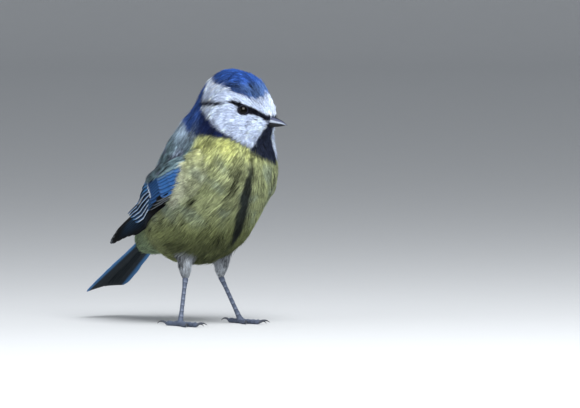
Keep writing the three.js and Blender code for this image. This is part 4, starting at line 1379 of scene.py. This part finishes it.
def toe_form(foot, toe, side, c):
    """Adds one toe with its pads, joints and plates to a foot."""
    _, _, long, radius, joints, _ = toe
    path, _, t = toe_line(toe, side, 30 + 14 * joints)
    angle = np.linspace(0, 2 * math.pi, TOE_SIDES, endpoint=False)
    above = np.clip(np.cos(angle), 0, 1)
    pads = 0.5 + 0.5 * np.cos(t * 2 * math.pi * (joints + 1))
    slim = curve(t, (0, 1.05), (0.2, 0.95), (0.85, 0.9), (1, 0.62))
    plates = scute(t, round(long * 0.95))
    radii = (radius * slim[:, None] * (1.06 - 0.24 * pads[:, None])
             + 0.16 * (plates[:, None] - 0.4) * above[None])
    points, faces = tube(path, radii, TOE_SIDES)
    points[:, 2] = np.maximum(points[:, 2], 0.0)
    foot.add((points, faces), scale=plated_look(plates, above, 0.7, 0.75, c))


def make_claws():
    c = colours()
    for name, side in SIDES:
        for toe in TOES:
            path, ahead, _ = toe_line(toe, side, 3)
            start = path[-1] + ahead * -0.15
            radius = toe[5] / CLAW_TURN
            t = np.linspace(0, 1, CLAW_STEPS)
            angle = CLAW_LEAN - CLAW_TURN * t
            rise = radius * (np.cos(angle) - math.cos(CLAW_LEAN))
            reach = radius * (math.sin(CLAW_LEAN) - np.sin(angle))
            line = start + ahead * reach[:, None] + UP * rise[:, None]
            radii = mix(0.5, 0.05, t**1.2)
            lowest = (line[:, 2] - radii).min()
            line[:, 2] -= min(lowest - 0.02, 0) * t**1.5
            parts = Parts()
            along = np.append(np.repeat(t, CLAW_SIDES), [0, 1])
            look = mix(c["claw"], c["bill"], smooth(0.2, 1, along)[:, None])
            parts.add(tube(line, radii, CLAW_SIDES, 0.72), horn=look)
            parts.mesh(f"nail_{name}_{toe[0]}", material("horn"), "claw", (f"claw_{name}_{toe[0]}",))


# Materials.
def new_group(name, inputs, outputs):
    """An empty shader node group with named sockets, and its two ends."""
    group = bpy.data.node_groups.new(name, "ShaderNodeTree")
    for label, kind, value in inputs:
        socket = group.interface.new_socket(name=label, in_out="INPUT", socket_type=f"NodeSocket{kind}")
        socket.default_value = value
    for label, kind in outputs:
        group.interface.new_socket(name=label, in_out="OUTPUT", socket_type=f"NodeSocket{kind}")
    return group, group.nodes.new("NodeGroupInput"), group.nodes.new("NodeGroupOutput")


def node(tree, kind, settings=None, **inputs):
    """A new node. Each input is a socket to link or a value; _0 and _1 name inputs by number."""
    made = tree.nodes.new(f"ShaderNode{kind}")
    for key, value in (settings or {}).items():
        setattr(made, key, value)
    for key, value in inputs.items():
        socket = made.inputs[int(key[1:])] if key[0] == "_" else made.inputs[key.replace("_", " ")]
        if isinstance(value, bpy.types.NodeSocket):
            tree.links.new(value, socket)
        else:
            socket.default_value = value
    return made


def maths(tree, operation, a, b=0.0):
    return node(tree, "Math", {"operation": operation}, _0=a, _1=b).outputs[0]


def multiplied(tree, colour, value):
    """A colour made lighter or darker by a value."""
    scaled = node(tree, "VectorMath", {"operation": "SCALE"}, _0=colour)
    tree.links.new(value, scaled.inputs["Scale"])
    return scaled.outputs[0]


def grain_group():
    """Uneven tone and fine relief over a surface, by its own coordinates."""
    group, start, end = new_group(
        "Fine grain",
        (("Colour", "Color", (1, 1, 1, 1)), ("Scale", "Float", 900.0), ("Amount", "Float", 0.2)),
        (("Colour", "Color"), ("Height", "Float")),
    )
    place = node(group, "TexCoord").outputs["Object"]
    noise = node(group, "TexNoise", Vector=place, Scale=start.outputs["Scale"], Detail=4.0, Roughness=0.6)
    centred = maths(group, "SUBTRACT", noise.outputs[0], 0.5)
    gain = maths(group, "MULTIPLY", centred, start.outputs["Amount"])
    tone = maths(group, "ADD", gain, 1.0)
    group.links.new(multiplied(group, start.outputs["Colour"], tone), end.inputs["Colour"])
    group.links.new(noise.outputs[0], end.inputs["Height"])
    return group


def barb_group():
    """The slanting barbs of a vane, from its own across and along values."""
    group, start, end = new_group(
        "Vane barbs",
        (("Colour", "Color", (1, 1, 1, 1)), ("Across", "Float", 0.0), ("Along", "Float", 0.0),
         ("Count", "Float", 9.0), ("Slant", "Float", 0.35), ("Amount", "Float", 0.25)),
        (("Colour", "Color"), ("Height", "Float")),
    )
    aside = maths(group, "ABSOLUTE", start.outputs["Across"])
    slant = maths(group, "MULTIPLY", aside, start.outputs["Slant"])
    line = maths(group, "SUBTRACT", start.outputs["Along"], slant)
    wave = maths(group, "SINE", maths(group, "MULTIPLY", line, start.outputs["Count"]))
    place = node(group, "TexCoord").outputs["Object"]
    noise = node(group, "TexNoise", Vector=place, Scale=500.0, Detail=3.0)
    rough = maths(group, "MULTIPLY", wave, noise.outputs[0])
    gain = maths(group, "MULTIPLY", rough, start.outputs["Amount"])
    tone = maths(group, "ADD", gain, 1.0)
    group.links.new(multiplied(group, start.outputs["Colour"], tone), end.inputs["Colour"])
    group.links.new(wave, end.inputs["Height"])
    return group


def placed(tree, group, **inputs):
    """A shared group, placed in a material with its own inputs."""
    made = tree.nodes.new("ShaderNodeGroup")
    made.node_tree = group
    for key, value in inputs.items():
        if isinstance(value, bpy.types.NodeSocket):
            tree.links.new(value, made.inputs[key])
        else:
            made.inputs[key].default_value = value
    return made


def surface(name, roughness, gloss):
    """A new material and its shader, with constants on the shader's own sockets."""
    made = bpy.data.materials.new(name)
    made.use_nodes = True
    tree = made.node_tree
    shader = tree.nodes["Principled BSDF"]
    shader.inputs["Roughness"].default_value = roughness
    shader.inputs["Specular IOR Level"].default_value = gloss
    return made, tree, shader


def layer(tree, name, output="Color"):
    """What a mesh layer holds."""
    return node(tree, "Attribute", {"attribute_name": name}).outputs[output]


def finish_with(tree, shader, colour, height, depth, strength=0.6):
    """Links a colour, and a relief as deep as depth millimetres."""
    tree.links.new(colour, shader.inputs["Base Color"])
    bump = node(tree, "Bump", Strength=strength, Distance=depth * MM, Height=height)
    tree.links.new(bump.outputs[0], shader.inputs["Normal"])


def grained(tree, colour, scale, amount):
    return placed(tree, once("grain", grain_group), Colour=colour, Scale=scale, Amount=amount)


def plumage_material():
    made, tree, shader = surface("plumage", 0.7, 0.15)
    strand = layer(tree, "strand", "Fac")
    grain = grained(tree, layer(tree, "plume"), 5000.0, 0.3)
    tone = node(tree, "MapRange", Value=strand, From_Min=0.0, From_Max=1.0, To_Min=0.86, To_Max=1.06)
    colour = multiplied(tree, grain.outputs["Colour"], tone.outputs[0])
    finish_with(tree, shader, colour, grain.outputs["Height"], 0.03)
    return made


def vane_material():
    made, tree, shader = surface("vane", 0.6, 0.05)
    barbs = placed(tree, once("barbs", barb_group), Colour=layer(tree, "plume"),
                   Across=layer(tree, "across", "Fac"), Along=layer(tree, "along", "Fac"),
                   Count=42.0, Slant=0.55, Amount=0.5)
    finish_with(tree, shader, barbs.outputs["Colour"], barbs.outputs["Height"], 0.02)
    return made


def eye_material():
    made, tree, shader = surface("eye", 0.06, 0.13)
    grain = grained(tree, (*colours()["eye"], 1), 300.0, 0.5)
    tree.links.new(grain.outputs["Colour"], shader.inputs["Base Color"])
    return made


def grained_material(name, roughness, gloss, colour, scale, amount, depth, strength=0.6):
    """A material with grain and relief. colour is the name of a mesh layer, or one colour."""
    made, tree, shader = surface(name, roughness, gloss)
    look = layer(tree, colour) if isinstance(colour, str) else (*colour, 1)
    grain = grained(tree, look, scale, amount)
    finish_with(tree, shader, grain.outputs["Colour"], grain.outputs["Height"], depth, strength)
    return made


MATERIALS = {
    "plumage": plumage_material,
    "vane": vane_material,
    "horn": lambda: grained_material("horn", 0.45, 0.3, "horn", 700.0, 0.35, 0.02),
    "scales": lambda: grained_material("scales", 0.52, 0.25, "scale", 1500.0, 0.35, 0.03),
    "eye": eye_material,
    "lid": lambda: grained_material("lid", 0.5, 0.15, colours()["stripe"], 1600.0, 0.4, 0.04),
    "bristle": lambda: grained_material("bristle", 0.6, 0.15, colours()["bib"], 1600.0, 0.4, 0.04),
    "floor": lambda: grained_material("floor_paint", 0.7, 0.5, bpy.context.scene.blue_tit_stage.floor,
                                      60.0, 0.03, 0.05, 0.1),
}


def material(name):
    return once("material " + name, MATERIALS[name])


# Stage: floor, backdrop, lights and camera.
VIEW_ROUND, VIEW_RISE = math.radians(50), math.radians(2.5)
VIEW_RIGHT = np.array([math.cos(VIEW_ROUND), math.sin(VIEW_ROUND), 0.0])
VIEW_AWAY = np.array([-math.sin(VIEW_ROUND), math.cos(VIEW_ROUND), 0.0])
FRAME_WIDE = 208.8  # millimetres that the picture's width takes in at the bird
FRAME_AT = (27.36, 43.56)  # the picture's middle, right and up from the plan's origin
CAMERA_FAR = 3.0
SENSOR = 36
# Metres: the floor's near edge, where the backdrop starts, how round it rises, its top, half its width.
STAGE = {"near": -3.6, "far": 3.4, "bend": 0.6, "top": 4.0, "aside": 4.5}
BEND_STEPS = 13
LIT_AT = np.array([0, 0, 50.0])
SKY_COLOUR = (0.93, 0.96, 1.0, 1)


def way_to(aside, rise):
    """The way from the bird to something aside of the camera and above level, in radians."""
    yaw = VIEW_ROUND + aside
    return np.array([math.sin(yaw) * math.cos(rise), -math.cos(yaw) * math.cos(rise), math.sin(rise)])


def aimed(name, data, target, way, far):
    """A camera or light set far metres off its target, looking back at it."""
    holder = new_object(name, data)
    holder.location = Vector(in_metres(target) + way * far)
    holder.rotation_euler = Vector(-way).to_track_quat("-Z", "Y").to_euler()
    return holder


def make_floor():
    bend = STAGE["bend"]
    curve_at = np.linspace(0, math.pi / 2, BEND_STEPS)
    profile = [(STAGE["near"], 0.0)]
    profile += [(STAGE["far"] + bend * math.sin(a), bend - bend * math.cos(a)) for a in curve_at]
    profile.append((STAGE["far"] + bend, STAGE["top"]))
    points = [tuple(VIEW_AWAY * d + VIEW_RIGHT * w + UP * h)
              for d, h in profile for w in (-STAGE["aside"], STAGE["aside"])]
    faces = [(2 * i, 2 * i + 1, 2 * i + 3, 2 * i + 2) for i in range(len(profile) - 1)]
    mesh = bpy.data.meshes.new("floor")
    mesh.from_pydata(points, [], faces)
    mesh.polygons.foreach_set("use_smooth", [True] * len(faces))
    floor = new_object("floor", mesh)
    mesh.materials.append(material("floor"))


def make_camera():
    toward = way_to(0, VIEW_RISE)
    up = np.cross(toward, VIEW_RIGHT)
    camera = bpy.data.cameras.new("camera")
    camera.sensor_width = SENSOR
    camera.lens = SENSOR * CAMERA_FAR / (FRAME_WIDE * MM)
    camera.clip_end = 50
    target = VIEW_RIGHT * FRAME_AT[0] + up * FRAME_AT[1]
    bpy.context.scene.camera = aimed("camera", camera, target, toward, CAMERA_FAR)


def add_light(name, power, size, aside, rise, far):
    """A square soft light, aside and rise degrees from the camera's level way to the bird."""
    lamp = bpy.data.lights.new(name, "AREA")
    lamp.energy = power
    lamp.size = size
    aimed(name, lamp, LIT_AT, way_to(math.radians(aside), math.radians(rise)), far)


def make_stage():
    settings = bpy.context.scene.blue_tit_stage
    make_floor()
    make_camera()
    add_light("key_light", settings.key, 0.5, 18, 50, 0.9)
    add_light("fill_light", settings.fill, 0.9, -50, 20, 1.1)
    world = bpy.data.worlds.new("studio")
    world.use_nodes = True
    sky = world.node_tree.nodes["Background"]
    sky.inputs["Color"].default_value = SKY_COLOUR
    sky.inputs["Strength"].default_value = settings.sky
    bpy.context.scene.world = world
    bpy.context.scene.view_settings.view_transform = "Standard"


# The add-on: one operator for each piece or group of like pieces, in the order they are made.
class BLUETIT_OT_stage(bpy.types.Operator):
    """Make the floor, the lights and the camera"""

    bl_idname = "bluetit.stage"
    bl_label = "Stage"

    def execute(self, context):
        make_stage()
        return {"FINISHED"}


class BLUETIT_OT_skin(bpy.types.Operator):
    """Make the one skin under the coat"""

    bl_idname = "bluetit.skin"
    bl_label = "Skin"

    def execute(self, context):
        make_skin()
        return {"FINISHED"}


class BLUETIT_OT_coat(bpy.types.Operator):
    """Make the body feathers over the skin"""

    bl_idname = "bluetit.coat"
    bl_label = "Coat"

    def execute(self, context):
        make_coat()
        return {"FINISHED"}


class BLUETIT_OT_wings(bpy.types.Operator):
    """Make both folded wings, feather by feather"""

    bl_idname = "bluetit.wings"
    bl_label = "Wings"

    def execute(self, context):
        for name, side in SIDES:
            make_wing(name, side)
        return {"FINISHED"}


class BLUETIT_OT_tail(bpy.types.Operator):
    """Make the twelve tail feathers"""

    bl_idname = "bluetit.tail"
    bl_label = "Tail"

    def execute(self, context):
        make_tail()
        return {"FINISHED"}


class BLUETIT_OT_bill(bpy.types.Operator):
    """Make the bill and its bristles"""

    bl_idname = "bluetit.bill"
    bl_label = "Bill"

    def execute(self, context):
        make_bill()
        return {"FINISHED"}


class BLUETIT_OT_eyes(bpy.types.Operator):
    """Make the eyes and their lids"""

    bl_idname = "bluetit.eyes"
    bl_label = "Eyes"

    def execute(self, context):
        make_eyes()
        return {"FINISHED"}


class BLUETIT_OT_legs(bpy.types.Operator):
    """Make the scaled shanks and toes"""

    bl_idname = "bluetit.legs"
    bl_label = "Legs"

    def execute(self, context):
        make_legs()
        return {"FINISHED"}


class BLUETIT_OT_claws(bpy.types.Operator):
    """Make the claws"""

    bl_idname = "bluetit.claws"
    bl_label = "Claws"

    def execute(self, context):
        make_claws()
        return {"FINISHED"}


OPERATORS = (
    BLUETIT_OT_stage,
    BLUETIT_OT_skin,
    BLUETIT_OT_coat,
    BLUETIT_OT_wings,
    BLUETIT_OT_tail,
    BLUETIT_OT_bill,
    BLUETIT_OT_eyes,
    BLUETIT_OT_legs,
    BLUETIT_OT_claws,
)


class BLUETIT_PT_panel(bpy.types.Panel):
    """Lists the model's pieces and its settings"""

    bl_idname = "BLUETIT_PT_panel"
    bl_label = "Blue tit"
    bl_space_type = "VIEW_3D"
    bl_region_type = "UI"
    bl_category = "Blue tit"

    def draw(self, context):
        for piece in OPERATORS:
            self.layout.operator(piece.bl_idname)
        for group in ("blue_tit_sizes", "blue_tit_colours", "blue_tit_stage"):
            settings = getattr(context.scene, group)
            box = self.layout.box()
            for key in type(settings).__annotations__:
                box.prop(settings, key)


GROUPS = (
    ("blue_tit_colours", BlueTitColours),
    ("blue_tit_sizes", BlueTitSizes),
    ("blue_tit_stage", BlueTitStage),
)


def register():
    for name, group in GROUPS:
        bpy.utils.register_class(group)
        setattr(bpy.types.Scene, name, bpy.props.PointerProperty(type=group))
    for kind in (*OPERATORS, BLUETIT_PT_panel):
        bpy.utils.register_class(kind)


def unregister():
    for kind in reversed((*OPERATORS, BLUETIT_PT_panel)):
        bpy.utils.unregister_class(kind)
    for name, group in reversed(GROUPS):
        delattr(bpy.types.Scene, name)
        bpy.utils.unregister_class(group)


def main():
    register()
    for piece in OPERATORS:
        step = getattr(bpy.ops.bluetit, piece.bl_idname.split(".")[1])
        if step() != {"FINISHED"}:
            raise RuntimeError(piece.bl_label + " didn't finish")
    bpy.context.view_layer.update()


if __name__ == "__main__":
    main()
